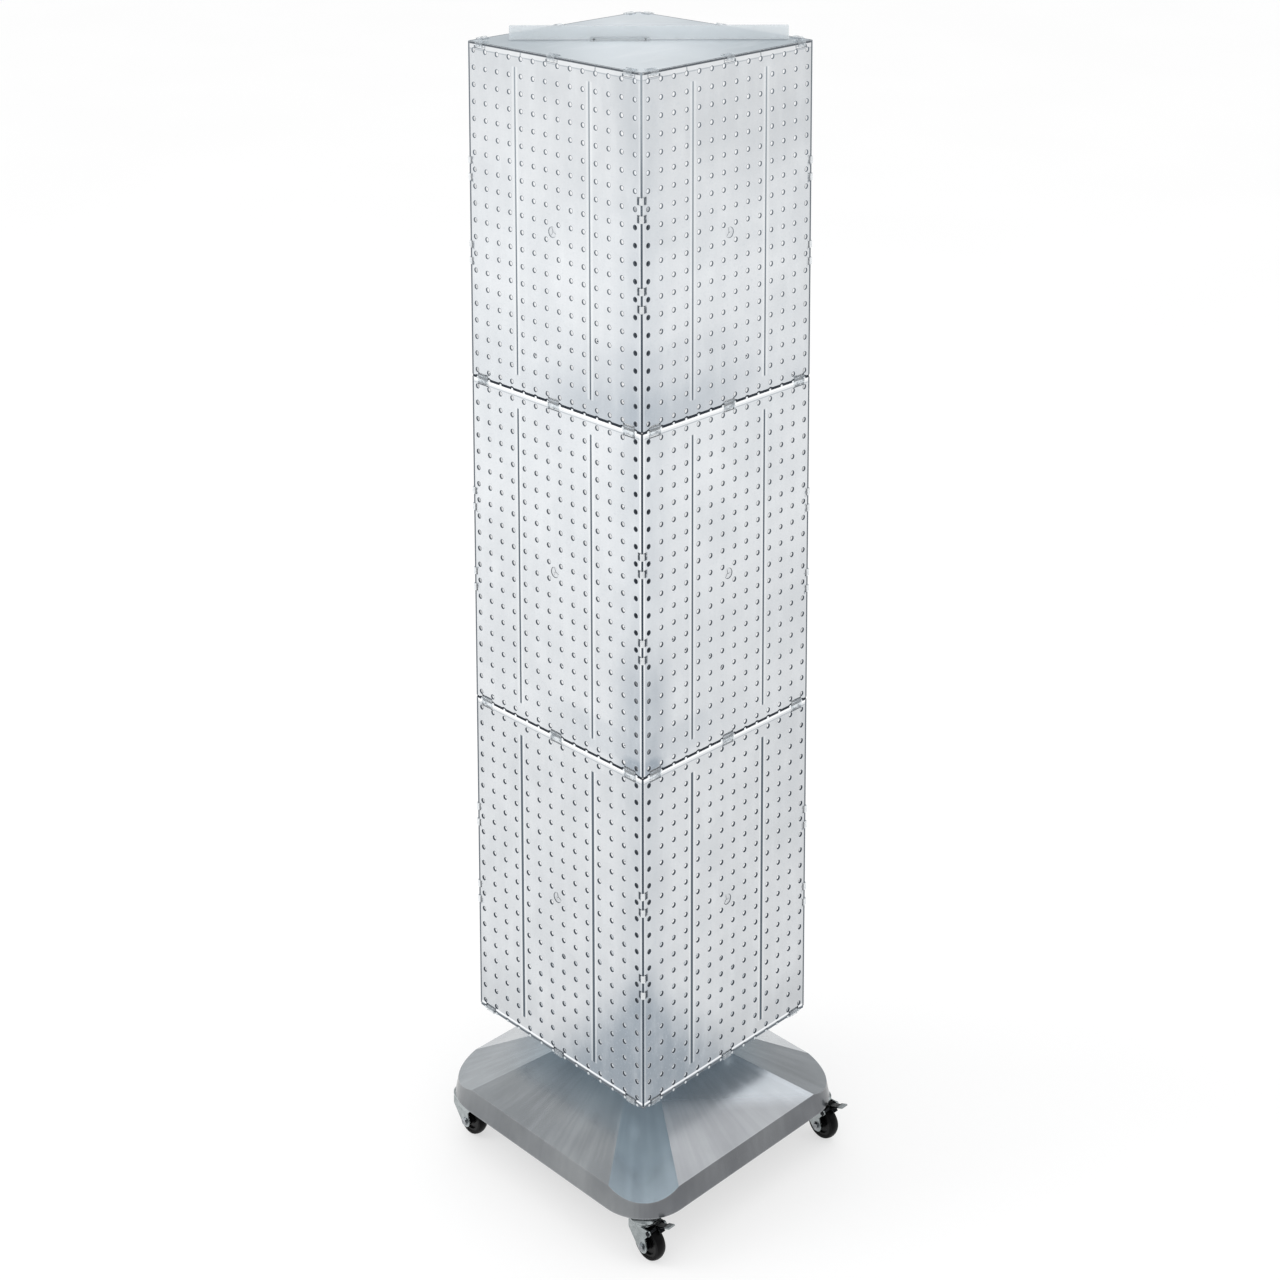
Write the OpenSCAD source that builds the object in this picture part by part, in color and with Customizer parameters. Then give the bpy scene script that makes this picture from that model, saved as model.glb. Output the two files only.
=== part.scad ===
// Four-sided pegboard display tower on a rolling base.
// Origin: on the floor, on the tower's vertical axis. Front faces -Y, right is +X, +Z is up.

/* [Tower] */
// Outer width of each tower face
tower_w = 355.6; // [350:0.2:360]
// Height of one tier of panels
tier_h = 508; // [506:0.5:512]
// Thickness of the panel sheet
wall_t = 3; // [2.6:0.1:3.4]
// Height of the tower's lower edge above the floor
tower_z = 211; // [209:0.5:214]
// Gap left between neighbouring panels at each tier joint
tier_gap = 0.3; // [0.2:0.1:0.5]

/* [Pegboard] */
// Spacing of the peg holes
peg_pitch = 25.4; // [25:0.1:25.6]
// Diameter of the peg holes
peg_hole_d = 6.35; // [5:0.05:7]
// Peg hole columns on each panel
peg_cols = 14; // [14]
// Peg hole rows on each panel
peg_rows = 20; // [20]
// Depth of the upright stiffening ribs behind each panel
rib_depth = 5; // [3:0.5:6]
// Thickness of the ribs and edge flanges
rib_t = 2; // [1.5:0.1:2.5]

/* [Clips] */
// How far a clip cap stands out from the panel face
clip_cap = 1.6; // [1.2:0.1:2]
// Length of each corner clip
clip_len = 10; // [8:0.5:10]
// Length of each clip across a tier joint
tier_clip_len = 22; // [16:0.5:22]
// Length of each clip over the lid and under the floor
lid_clip_len = 15; // [10:0.5:16]

/* [Sign holder] */
// Length of the sign channel
sign_len = 406.4; // [380:0.2:430]
// Height of the sign channel
sign_h = 20; // [16:0.5:24]
// Outer width of the sign channel
sign_w = 7; // [6:0.5:8]

/* [Base] */
// Overall width of the base at its lower edge
base_w = 457.2; // [454:0.2:462]
// Corner radius of the base at its lower edge
base_r = 76; // [74:1:80]
// Height of the base's lower edge above the floor
base_z = 67; // [67]
// Height of the upright rim up to the fold
rim_h = 32; // [30:0.5:33]
// Width of the base at the fold
fold_w = 444; // [442:0.5:446]
// Slope of the four faces above the fold
slope_deg = 26; // [25.5:0.1:26.3]
// Height of the flat top that carries the turntable
plateau_z = 167; // [167]
// Wall thickness of the moulded base
base_t = 3.5; // [3:0.1:4]

/* [Casters] */
// Distance of each caster stem from the centre lines
stem_xy = 193; // [191:0.5:194]
// Wheel diameter
wheel_d = 50.8; // [50:0.1:50.8]
// Tread width
tread_w = 16; // [14:0.5:18]
// Trail of the axle behind the swivel axis
trail = 13; // [12.8:0.1:13.2]

/* [Hidden] */
$fn = 32;

gap = 0.05;   // clearance between neighbouring pieces
lap = 0.1;    // overlap between the parts of one piece
tower_half = tower_w / 2;
tower_top = tower_z + 3 * tier_h;
plate_t = 3;  // thickness of the lid and floor

clear = [0.85, 0.89, 0.92];
dark_clear = [0.70, 0.76, 0.80];
silver = [0.58, 0.60, 0.62];
zinc = [0.72, 0.73, 0.72];
black = [0.06, 0.06, 0.07];
steel = [0.80, 0.80, 0.80];

// ---------- Shared helpers ----------
// Cutters start before and end past the faces they open.

// Upright cylinder standing at height z
module disc(z, r, h) { translate([0, 0, z]) cylinder(r = r, h = h); }

module quarter_turns() { for (a = [0:90:270]) rotate([0, 0, a]) children(); }

module on_ring(r, angles) { for (a = angles) rotate([0, 0, a]) translate([r, 0, 0]) children(); }

// Cutter that rounds an outline's +X +Y corner, which lies at the origin
module corner_rounder(r) {
  difference() {
    square(2 * r, center = true);
    translate([-r, -r]) circle(r);
  }
}

// ---------- Tower panels ----------

tongue_d = 4;             // locating tongues along a panel's lower edge
notch_d = 4.6;            // matching notches along its upper edge
slot_in = 7;              // joint clip slots sit this far in from a panel's edge
slot_w = 4;               // width of the clip slots
slot_slack = 0.6;         // a slot is this much longer than its clip
corner_slot_in = 5.4;     // corner clip slots sit this far in from the upright edge
corner_clip_rows = [7, 8, 12, 13];  // peg pitches down from a panel's upper edge
edge_clip_x = [-6 * peg_pitch, 0, 6 * peg_pitch];
peg_x = [for (i = [0:peg_cols - 1]) (i - (peg_cols - 1) / 2) * peg_pitch];
peg_z = [for (i = [0:peg_rows - 1]) tier_h / 2 + (i - (peg_rows - 1) / 2) * peg_pitch];

side_flange_in = 18.6;    // upright flange near each side of a panel
side_flange_depth = 8;
side_flange_t = 1.8;
flange_in = 3.2;          // edge flanges sit this far in, above the floor and below the lid
flange_depth = 1.6;
flange_end = 9;           // edge flanges stop this far short of the corners
rib_sink = 0.5;           // ribs and flanges start this deep in the sheet
mitre_gap = 0.1;          // cut back of each mitred edge from the diagonal
mitre_over = 8;           // the mitre cutter runs past the panel by this much

// Outline of one panel: x across, y up, with peg holes, clip slots and the small
// locating tongues below and notches above that key one tier to the next.
module panel_2d() {
  difference() {
    union() {
      translate([-tower_half, tier_gap / 2]) square([2 * tower_half, tier_h - tier_gap]);
      for (x = peg_x) translate([x, tier_gap / 2]) circle(d = tongue_d);
    }
    for (x = peg_x) translate([x, tier_h + tier_gap / 2]) circle(d = notch_d);
    for (x = peg_x, y = peg_z) translate([x, y]) circle(d = peg_hole_d);
    for (s = [-1, 1], row = corner_clip_rows)
      translate([s * (tower_half - corner_slot_in), tier_h - row * peg_pitch])
        square([slot_w, clip_len + slot_slack], center = true);
    for (x = edge_clip_x, y = [slot_in, tier_h - slot_in])
      translate([x, y]) square([tier_clip_len + slot_slack, slot_w], center = true);
  }
}

// Bar on the inner face of the front panel, centred on x and starting at height z
module inner_bar(x, z, width, depth, height) {
  translate([x - width / 2, -tower_half + wall_t - rib_sink, z])
    cube([width, depth + rib_sink, height]);
}

// One moulded panel facing -Y: mitred sheet, two upright ribs, an upright flange near
// each side, and a flange near the lower and upper edge.
module panel_solid() {
  difference() {
    union() {
      translate([0, -tower_half + wall_t, 0]) rotate([90, 0, 0]) linear_extrude(wall_t) panel_2d();
      for (x = [-3 * peg_pitch, 3 * peg_pitch])
        inner_bar(x, peg_pitch, rib_t, rib_depth, tier_h - 2 * peg_pitch);
      for (s = [-1, 1])
        inner_bar(s * (tower_half - side_flange_in), peg_pitch / 2,
          side_flange_t, side_flange_depth, tier_h - peg_pitch);
      for (z = [flange_in, tier_h - flange_in - rib_t])
        inner_bar(0, z, 2 * (tower_half - flange_end), flange_depth, rib_t);
    }
    for (m = [0, 1]) mirror([m, 0, 0]) rotate([0, 0, 45])
      translate([-mitre_gap, -tower_half - 120, -mitre_over])
        cube([40, 240, tier_h + 2 * mitre_over]);
  }
}

// Faces count from the front: 0 front, 1 right, 2 rear, 3 left. Tiers count from the lowest.
module panel(face, tier) {
  color(tier == 0 ? dark_clear : clear)
    rotate([0, 0, 90 * face]) translate([0, 0, tower_z + tier * tier_h]) panel_solid();
}

module lower_front_panel() { panel(0, 0); }
module lower_right_panel() { panel(1, 0); }
module lower_rear_panel() { panel(2, 0); }
module lower_left_panel() { panel(3, 0); }
module middle_front_panel() { panel(0, 1); }
module middle_right_panel() { panel(1, 1); }
module middle_rear_panel() { panel(2, 1); }
module middle_left_panel() { panel(3, 1); }
module upper_front_panel() { panel(0, 2); }
module upper_right_panel() { panel(1, 2); }
module upper_rear_panel() { panel(2, 2); }
module upper_left_panel() { panel(3, 2); }

// ---------- Lid and floor of the tower ----------

plate_half = tower_half - wall_t - 0.3;
plate_slot_in = 11;       // plate slots sit this far in from the tower's face
plate_slot_w = 2.8;
floor_corner_r = 8;

// Square plate with a clip slot near each edge clip
module plate_2d() {
  difference() {
    square(2 * plate_half, center = true);
    quarter_turns() for (x = edge_clip_x) translate([x, -tower_half + plate_slot_in])
      square([lid_clip_len + slot_slack, plate_slot_w], center = true);
  }
}

module tower_lid() {
  color(clear) difference() {
    translate([0, 0, tower_top - plate_t]) linear_extrude(plate_t) plate_2d();
    sign_frame() sign_screw_sites() disc(-5, sign_screw_r + gap, 8);
  }
}

// Rounded corners, a central hole, and a rectangular and a round hole near each corner
module tower_floor() {
  color(dark_clear) difference() {
    translate([0, 0, tower_z]) linear_extrude(plate_t) difference() {
      plate_2d();
      circle(20);
      quarter_turns() {
        translate([plate_half, plate_half]) corner_rounder(floor_corner_r);
        translate([131, 114]) square([9, 15], center = true);
        translate([150, 150]) circle(2);
      }
    }
    turntable_screw_sites() disc(tower_z - 1, screw_r + 0.2, plate_t + 2);
  }
}

// ---------- Clips ----------

cap_out = clip_cap + gap; // outer face of a clip cap, out from the panel face
prong_t = 1.6;            // thickness of a joint clip's prongs
prong_in = 5.4;           // a joint clip's prong enters this far in from the edge
prong_past = 1.6;         // and reaches this far past the sheet
clip_arm = prong_in + prong_t;
corner_prong_t = 1.2;     // the same three sizes for a corner clip
corner_prong_in = 3.6;
corner_prong_past = 0.3;
plate_prong_t = 2.2;      // prong through the lid or floor
plate_prong_past = 1.2;

// Corner clip in plan: a rounded cap round the corner with a prong through the
// slot on each face. Corner at the origin, faces along -X and +Y.
module corner_clip_2d() {
  arm = corner_prong_in + corner_prong_t;
  reach = wall_t + corner_prong_past;
  difference() {
    union() {
      translate([-arm, -cap_out]) square([arm + cap_out, clip_cap]);
      translate([gap, -cap_out]) square([clip_cap, arm + cap_out]);
      translate([-arm, -cap_out]) square([corner_prong_t, cap_out + reach]);
      translate([-reach, corner_prong_in]) square([cap_out + reach, corner_prong_t]);
    }
    translate([cap_out, -cap_out]) rotate(-90) corner_rounder(3);
  }
}

module corner_clips() {
  color(clear) quarter_turns() for (tier = [0:2], row = corner_clip_rows)
    translate([tower_half, -tower_half,
        tower_z + (tier + 1) * tier_h - row * peg_pitch - clip_len / 2])
      linear_extrude(clip_len) corner_clip_2d();
}

// Joint clips in side view: x is outwards from the panel face, y is up.

// Prong through a panel slot, from height y upwards
module prong_2d(y) {
  reach = wall_t + prong_past;
  translate([-reach, y]) square([reach + gap + lap, prong_t]);
}

// Staple across a tier joint
module tier_clip_2d() {
  translate([gap, -clip_arm]) square([clip_cap, 2 * clip_arm]);
  for (y = [-clip_arm, clip_arm - prong_t]) prong_2d(y);
}

// Clip that wraps the tower's top edge: prong through the panel slot, cap up the
// face, domed bridge over the edge and a prong down through the plate slot.
module edge_clip_2d() {
  bridge = plate_slot_in + plate_prong_t / 2;
  drop = plate_t + plate_prong_past;
  difference() {
    union() {
      translate([gap, -clip_arm]) square([clip_cap, clip_arm + cap_out]);
      prong_2d(-clip_arm);
      translate([-bridge, gap]) square([bridge + cap_out, clip_cap]);
      translate([-bridge, -drop]) square([plate_prong_t, drop + gap + lap]);
      translate([-4.2, cap_out - 3.4]) intersection() {
        circle(5);
        translate([-5, 3.3]) square([10, 3]);
      }
    }
    translate([cap_out, cap_out]) corner_rounder(1);
  }
}

// Extrudes a side view at each clip place on all four faces, at height z
module face_clips(z, length) {
  quarter_turns() for (x = edge_clip_x) translate([x + length / 2, -tower_half, z])
    rotate([90, 0, -90]) linear_extrude(length) children();
}

module tier_clips() {
  color(clear) for (t = [1:2]) face_clips(tower_z + t * tier_h, tier_clip_len) tier_clip_2d();
}

module lid_clips() { color(clear) face_clips(tower_top, lid_clip_len) edge_clip_2d(); }

module floor_clips() {
  color(dark_clear) translate([0, 0, tower_z]) mirror([0, 0, 1])
    face_clips(0, lid_clip_len) edge_clip_2d();
}

// ---------- Sign holder ----------

sign_offset = 12.7;       // middle of the channel, along the diagonal from the tower's axis
foot_x0 = -86;            // along the diagonal, from the channel's middle
foot_len = 87;
foot_w = 24;
foot_t = 1.8;
cheek_t = 1.4;            // upright walls of the foot on both sides of the channel
cheek_h = 4;
channel_wall = 1.5;
channel_floor = 1.6;
channel_z = foot_t + 2 * gap;
sign_screw_r = 1.5;
sign_screw_depth = 4.5;
sign_screw_in = 6;        // in from the foot's ends
sign_screw_y = 8;

// Frame on the lid with x along the tower's diagonal
module sign_frame() { rotate([0, 0, 45]) translate([sign_offset, 0, tower_top]) children(); }

module sign_screw_sites() {
  for (x = [foot_x0 + sign_screw_in, foot_x0 + foot_len - sign_screw_in], s = [-1, 1])
    translate([x, s * sign_screw_y, 0]) children();
}

module sign_channel() {
  color(clear) sign_frame() translate([-sign_len / 2, 0, channel_z]) rotate([90, 0, 90])
    linear_extrude(sign_len) difference() {
      translate([-sign_w / 2, 0]) square([sign_w, sign_h]);
      translate([-sign_w / 2 + channel_wall, channel_floor])
        square([sign_w - 2 * channel_wall, sign_h]);
    }
}

module sign_foot() {
  cheek_y = sign_w / 2 + 0.1 + cheek_t / 2;
  color(clear) sign_frame() difference() {
    union() {
      translate([foot_x0, -foot_w / 2, gap]) cube([foot_len, foot_w, foot_t]);
      for (s = [-1, 1]) translate([foot_x0, s * cheek_y - cheek_t / 2, gap + foot_t - lap])
        cube([foot_len, cheek_t, cheek_h + lap]);
    }
    sign_screw_sites() disc(-1, sign_screw_r + gap, 5);
  }
}

module sign_screws() {
  color(steel) sign_frame() sign_screw_sites() {
    disc(-sign_screw_depth, sign_screw_r, sign_screw_depth + channel_z + lap);
    translate([0, 0, channel_z]) cylinder(r1 = 2.7, r2 = 2, h = 1.5);
  }
}

// ---------- Turntable ----------

top_r = 78;               // upper turntable plate
top_z = 186.5;
top_t = 4.5;
top_rim_t = 4;
upstand_z = 190;          // rim, hub and screw bosses rise from inside the plate
upstand_h = tower_z - gap - upstand_z;
hub_h = 14;
lower_r = 75;             // lower turntable plate
lower_top = 182.5;
ball_r = 4;
ball_track = 62;
ball_z = 184.5;
cage_t = 2.8;
screw_r = 2;
screw_head_h = 2.2;
bolt_r = 5;
bolt_top = 219;
hex_r = 9;                // bolt head and nut, across corners
washer_z = upstand_z + hub_h + gap;
washer_t = 1.6;

module turntable_screw_sites() { on_ring(64, [45:90:315]) children(); }
module base_screw_sites() { on_ring(38, [0:90:270]) children(); }
module ball_sites() { on_ring(ball_track, [0:15:345]) translate([0, 0, ball_z]) children(); }

module ball_groove() {
  translate([0, 0, ball_z]) rotate_extrude() translate([ball_track, 0]) circle(ball_r + 0.1);
}

module turntable_top() {
  color(silver) difference() {
    union() {
      disc(top_z, top_r, top_t);
      difference() {
        disc(upstand_z, top_r, upstand_h);
        disc(upstand_z - 1, top_r - top_rim_t, 40);
      }
      disc(upstand_z, 14, hub_h);
      turntable_screw_sites() disc(upstand_z, 6, upstand_h);
    }
    disc(180, bolt_r + 0.06, 40);
    ball_groove();
    turntable_screw_sites() disc(196, screw_r + gap, 30);
  }
}

module turntable_screws() {
  thread_z = 198;
  floor_top = tower_z + plate_t;
  color(steel) turntable_screw_sites() {
    disc(thread_z, screw_r, floor_top + 2 * gap - thread_z);
    translate([0, 0, floor_top + gap]) cylinder(r1 = 4, r2 = 3, h = screw_head_h);
  }
}

module ball_cage() {
  color("ivory") difference() {
    disc(ball_z - cage_t / 2, 69, cage_t);
    disc(182, 55, 5);
    ball_sites() disc(-3, ball_r + 0.15, 6);
  }
}

module turntable_balls() { color(steel) ball_sites() sphere(ball_r); }

// Lower plate with a ring-shaped hollow underneath
module turntable_base() {
  color(silver) difference() {
    disc(plateau_z + gap, lower_r, lower_top - plateau_z - gap);
    difference() {
      disc(plateau_z - 1, lower_r - 4, 10);
      disc(plateau_z - 2, 50, 12);
    }
    disc(150, bolt_r + 0.3, 40);
    ball_groove();
    base_screw_sites() disc(150, screw_r + 0.1, 40);
  }
}

module turntable_base_screws() {
  color(steel) base_screw_sites() {
    disc(158, screw_r, 25);
    disc(lower_top + gap, 4, screw_head_h);
  }
}

// Bolt with its head inside the base, up through both plates
module pivot_bolt() {
  ceiling_z = plateau_z - base_t;
  color(steel) union() {
    disc(ceiling_z - 7.1, hex_r, 6.5, $fn = 6);
    disc(ceiling_z - 4, bolt_r, bolt_top - ceiling_z + 4);
  }
}

module pivot_washer() {
  color(steel) translate([0, 0, washer_z]) difference() {
    cylinder(r = 11, h = washer_t);
    disc(-1, bolt_r + 0.2, 4);
  }
}

module pivot_nut() {
  color(steel) translate([0, 0, washer_z + washer_t + gap]) difference() {
    cylinder(r = hex_r, h = 8, $fn = 6);
    disc(-1, bolt_r + gap, 10);
  }
}

// ---------- Base ----------

fold_z = base_z + rim_h;
fold_half = fold_w / 2;
facet_y = fold_half * 0.676;     // where each corner facet starts along the fold
apex_z = fold_z + fold_half * tan(slope_deg);
draft = (base_w - fold_w) / 2 / rim_h;
web_t = 3;                       // webs inside the base
socket_r = 8;
socket_h = 22.5;
socket_z = base_z - 1;

// Eight-sided outline of the base at the fold
fold_outline = [for (a = [0:90:270], y = [-facet_y, facet_y])
  [fold_half * cos(a) - y * sin(a), fold_half * sin(a) + y * cos(a)]];

// Eight-sided pyramid that all the top faces belong to, between two heights
module pyramid(z0, z1, apex) {
  slice = 0.01;
  hull() for (z = [z0, z1 - slice]) translate([0, 0, z]) linear_extrude(slice)
    scale((apex - z) / (apex_z - fold_z)) polygon(fold_outline);
}

// Rounded square block whose sides lean in by the mould draft
module drafted_block(inset, z0, z1) {
  h = z1 - z0;
  r = base_r - inset;
  corner = base_w / 2 - base_r;
  hull() for (x = [-1, 1], y = [-1, 1]) translate([x * corner, y * corner, z0])
    cylinder(r1 = r, r2 = r - draft * h, h = h, $fn = 64);
}

module stem_sites() {
  for (x = [-1, 1], y = [-1, 1]) translate([x * stem_xy, y * stem_xy, 0]) children();
}

// Upright web running out along +X
module web(start, length) {
  translate([start, -web_t / 2, base_z + 8]) cube([length, web_t, 110]);
}

// The hollow is cut away except for the stem bosses, webs and screw bosses
module base_shell() {
  color(silver) difference() {
    intersection() {
      pyramid(base_z, plateau_z, apex_z);
      drafted_block(0, base_z, plateau_z + 1);
    }
    difference() {
      intersection() {
        pyramid(base_z - 5, plateau_z - base_t, apex_z - base_t / cos(slope_deg));
        drafted_block(base_t, base_z - 2, plateau_z);
      }
      stem_sites() disc(base_z, 13, 40);
      rotate([0, 0, 45]) quarter_turns() web(70, 190);
      quarter_turns() web(80, 150);
      base_screw_sites() disc(plateau_z - 16, 6, 20);
    }
    stem_sites() disc(socket_z, socket_r + gap, socket_h + 0.1);
    disc(140, bolt_r + 0.2, 60);
    base_screw_sites() disc(155, screw_r + 0.1, 40);
  }
}

module stem_sockets() {
  color(steel) stem_sites() difference() {
    union() {
      disc(socket_z, socket_r, socket_h);
      disc(base_z - 1.4, 10.5, 1.35);
    }
    disc(base_z - 3, stem_r + 0.08, 40);
  }
}

// ---------- Casters ----------
// Each is modelled with the swivel axis at the origin and the wheel trailing towards +X.
// Side views are [x, z].

wheel_r = wheel_d / 2;
axle_at = [trail, wheel_r];
pin_at = [trail + 12, wheel_r + 27];   // brake pin
leg_top = 55.4;
leg_half = 14;            // half the width of a fork leg at its top
leg_end_r = 9;            // rounded lower end of a leg
fork_in = 15;             // inner face of each fork leg, from the wheel's mid plane
fork_t = 2;
fork_out = fork_in + fork_t;
crown_t = 2.2;
stem_r = 5.5;
kingpin_r = 5;
axle_r = 4;
axle_half = 20;
hub_half = 14.7;
rim_r = 19;
tread_crown_r = 16;       // radius of the tread's rounded section
brake_pin_r = 2;
brake_pin_half = 18.2;
brake_y = 1;              // brake lever starts here and extends towards +Y

// Tangent point on a circle of the line from a point; side picks which of the two
function tangent_point(point, centre, radius, side) =
  let (
    offset = point - centre,
    angle = atan2(offset[1], offset[0]) + side * acos(radius / norm(offset))
  )
  centre + radius * [cos(angle), sin(angle)];

function from_pin(points) = [for (p = points) pin_at + p];

module at_caster(x_side, y_side) {
  translate([x_side * stem_xy, y_side * stem_xy, 0]) children();
}

// Side view made into a plate that spans y0 to y0 + t
module side_plate(y0, t) {
  translate([0, y0 + t, 0]) rotate([90, 0, 0]) linear_extrude(t) children();
}

// Frame centred on a side-view point, with its z axis towards -Y
module across(at) { translate([at[0], 0, at[1]]) rotate([90, 0, 0]) children(); }

module fork_leg_2d() {
  front = [-leg_half, leg_top - 11];
  rear = [leg_half, leg_top - 6];
  difference() {
    union() {
      translate(axle_at) circle(leg_end_r);
      polygon([
        [-leg_half, leg_top], [leg_half, leg_top],
        tangent_point(rear, axle_at, leg_end_r, -1), axle_at,
        tangent_point(front, axle_at, leg_end_r, 1), front
      ]);
      translate(pin_at) circle(4);
      polygon([[8, leg_top], pin_at + [-1, 3.87], pin_at + [0, -4], [16, 38]]);
    }
    translate(axle_at) circle(axle_r + gap);
    translate(pin_at) circle(brake_pin_r + gap);
  }
}

// Pressed fork: two side plates, the crown between them and the lower ball race
module fork() {
  difference() {
    union() {
      for (y = [-fork_out, fork_in]) side_plate(y, fork_t) fork_leg_2d();
      translate([-leg_half, -fork_out, leg_top - crown_t])
        cube([2 * leg_half, 2 * fork_out, crown_t]);
      disc(leg_top - 0.2, 19.5, 2.4);
      disc(leg_top, 17, 4.4);
    }
    disc(40, kingpin_r + 0.06, 40);
  }
}

// Stem with the upper race and the kingpin that the fork turns on
module stem() {
  union() {
    disc(51.3, 8.5, 1.7);
    disc(52, kingpin_r, 12);
    disc(60.1, 22, 2.4);
    translate([0, 0, 62.4]) cylinder(r1 = 22, r2 = 17, h = 3.1);
    disc(64, stem_r, 23);
  }
}

// Axle with a washer and nut on the -Y side and a hexagonal head on the +Y side
module axle() {
  across(axle_at) union() {
    disc(-axle_half, axle_r, 2 * axle_half);
    disc(fork_out + gap, 6, 1);
    disc(fork_out + 1, 5.2, 2.4, $fn = 6);
    disc(-fork_out - 3.4, 6, 3.4 - gap, $fn = 6);
  }
}

// Wheel with a ring-shaped recess in each side
module wheel() {
  across(axle_at) difference() {
    union() {
      disc(-tread_w / 2 + 0.6, rim_r, tread_w - 1.2);
      disc(-hub_half, 7.5, 2 * hub_half);
    }
    for (s = [-1, 1]) translate([0, 0, s * (tread_w / 2 + 1.4)]) difference() {
      cylinder(r = 15.5, h = 9.2, center = true);
      cylinder(r = 9, h = 12, center = true);
    }
    cylinder(r = axle_r + 0.06, h = 60, center = true);
  }
}

module tyre() {
  inner_r = rim_r + gap;
  across(axle_at) rotate_extrude($fn = 64) intersection() {
    translate([inner_r, -tread_w / 2]) square([wheel_r - inner_r, tread_w]);
    translate([wheel_r - tread_crown_r, 0]) circle(tread_crown_r);
  }
}

// Side-view outlines of the brake lever, [x, z] from the brake pin
shoe = 8 * [cos(36.9), -sin(36.9)];
shoe_arm = [[-1.5, -2.6], shoe + [-0.72, -0.96], shoe + [0.72, 0.96], [2.6, 1.9]];
pedal_arm = [[-1.2, 3.07], [11, 8.2], [22.6, 12.6], [23.4, 10.5], [12, 5.9], [2.7, 0.6]];
pedal = [[13, 8.9], [22.6, 12.6], [24, 13.3], [24.8, 11.2], [23.4, 10.5], [13.4, 6.5]];

// Hub on the pin, shoe beside the tyre, arm up to the pedal
module brake_arm_2d() {
  difference() {
    union() {
      translate(pin_at) circle(3.3);
      translate(pin_at + shoe) circle(1.2);
      polygon(from_pin(shoe_arm));
      polygon(from_pin(pedal_arm));
    }
    translate(pin_at) circle(brake_pin_r + gap);
  }
}

module brake() {
  union() {
    side_plate(brake_y, 10) brake_arm_2d();
    side_plate(brake_y, 12.5) polygon(from_pin(pedal));
  }
}

module brake_pin() {
  across(pin_at) union() {
    disc(-brake_pin_half, brake_pin_r, 2 * brake_pin_half);
    for (s = [-1, 1]) translate([0, 0, s * (fork_out + 0.65 + gap)])
      cylinder(r = 3.4, h = 1.2, center = true);
  }
}

module caster_fl_stem() { color(zinc) at_caster(-1, -1) stem(); }
module caster_fl_fork() { color(zinc) at_caster(-1, -1) fork(); }
module caster_fl_axle() { color(steel) at_caster(-1, -1) axle(); }
module caster_fl_wheel() { color(black) at_caster(-1, -1) wheel(); }
module caster_fl_tyre() { color(black) at_caster(-1, -1) tyre(); }
module caster_fl_brake() { color(zinc) at_caster(-1, -1) brake(); }
module caster_fl_brake_pin() { color(steel) at_caster(-1, -1) brake_pin(); }
module caster_fr_stem() { color(zinc) at_caster(1, -1) stem(); }
module caster_fr_fork() { color(zinc) at_caster(1, -1) fork(); }
module caster_fr_axle() { color(steel) at_caster(1, -1) axle(); }
module caster_fr_wheel() { color(black) at_caster(1, -1) wheel(); }
module caster_fr_tyre() { color(black) at_caster(1, -1) tyre(); }
module caster_fr_brake() { color(zinc) at_caster(1, -1) brake(); }
module caster_fr_brake_pin() { color(steel) at_caster(1, -1) brake_pin(); }
module caster_rl_stem() { color(zinc) at_caster(-1, 1) stem(); }
module caster_rl_fork() { color(zinc) at_caster(-1, 1) fork(); }
module caster_rl_axle() { color(steel) at_caster(-1, 1) axle(); }
module caster_rl_wheel() { color(black) at_caster(-1, 1) wheel(); }
module caster_rl_tyre() { color(black) at_caster(-1, 1) tyre(); }
module caster_rl_brake() { color(zinc) at_caster(-1, 1) brake(); }
module caster_rl_brake_pin() { color(steel) at_caster(-1, 1) brake_pin(); }
module caster_rr_stem() { color(zinc) at_caster(1, 1) stem(); }
module caster_rr_fork() { color(zinc) at_caster(1, 1) fork(); }
module caster_rr_axle() { color(steel) at_caster(1, 1) axle(); }
module caster_rr_wheel() { color(black) at_caster(1, 1) wheel(); }
module caster_rr_tyre() { color(black) at_caster(1, 1) tyre(); }
module caster_rr_brake() { color(zinc) at_caster(1, 1) brake(); }
module caster_rr_brake_pin() { color(steel) at_caster(1, 1) brake_pin(); }

lower_front_panel();
lower_right_panel();
lower_rear_panel();
lower_left_panel();
middle_front_panel();
middle_right_panel();
middle_rear_panel();
middle_left_panel();
upper_front_panel();
upper_right_panel();
upper_rear_panel();
upper_left_panel();
tower_lid();
tower_floor();
corner_clips();
tier_clips();
lid_clips();
floor_clips();
sign_channel();
sign_foot();
sign_screws();
turntable_top();
turntable_screws();
ball_cage();
turntable_balls();
turntable_base();
turntable_base_screws();
pivot_bolt();
pivot_washer();
pivot_nut();
base_shell();
stem_sockets();
caster_fl_stem();
caster_fl_fork();
caster_fl_axle();
caster_fl_wheel();
caster_fl_tyre();
caster_fl_brake();
caster_fl_brake_pin();
caster_fr_stem();
caster_fr_fork();
caster_fr_axle();
caster_fr_wheel();
caster_fr_tyre();
caster_fr_brake();
caster_fr_brake_pin();
caster_rl_stem();
caster_rl_fork();
caster_rl_axle();
caster_rl_wheel();
caster_rl_tyre();
caster_rl_brake();
caster_rl_brake_pin();
caster_rr_stem();
caster_rr_fork();
caster_rr_axle();
caster_rr_wheel();
caster_rr_tyre();
caster_rr_brake();
caster_rr_brake_pin();
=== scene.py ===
import math

import bmesh
import bpy
from mathutils import Matrix, Vector


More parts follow.
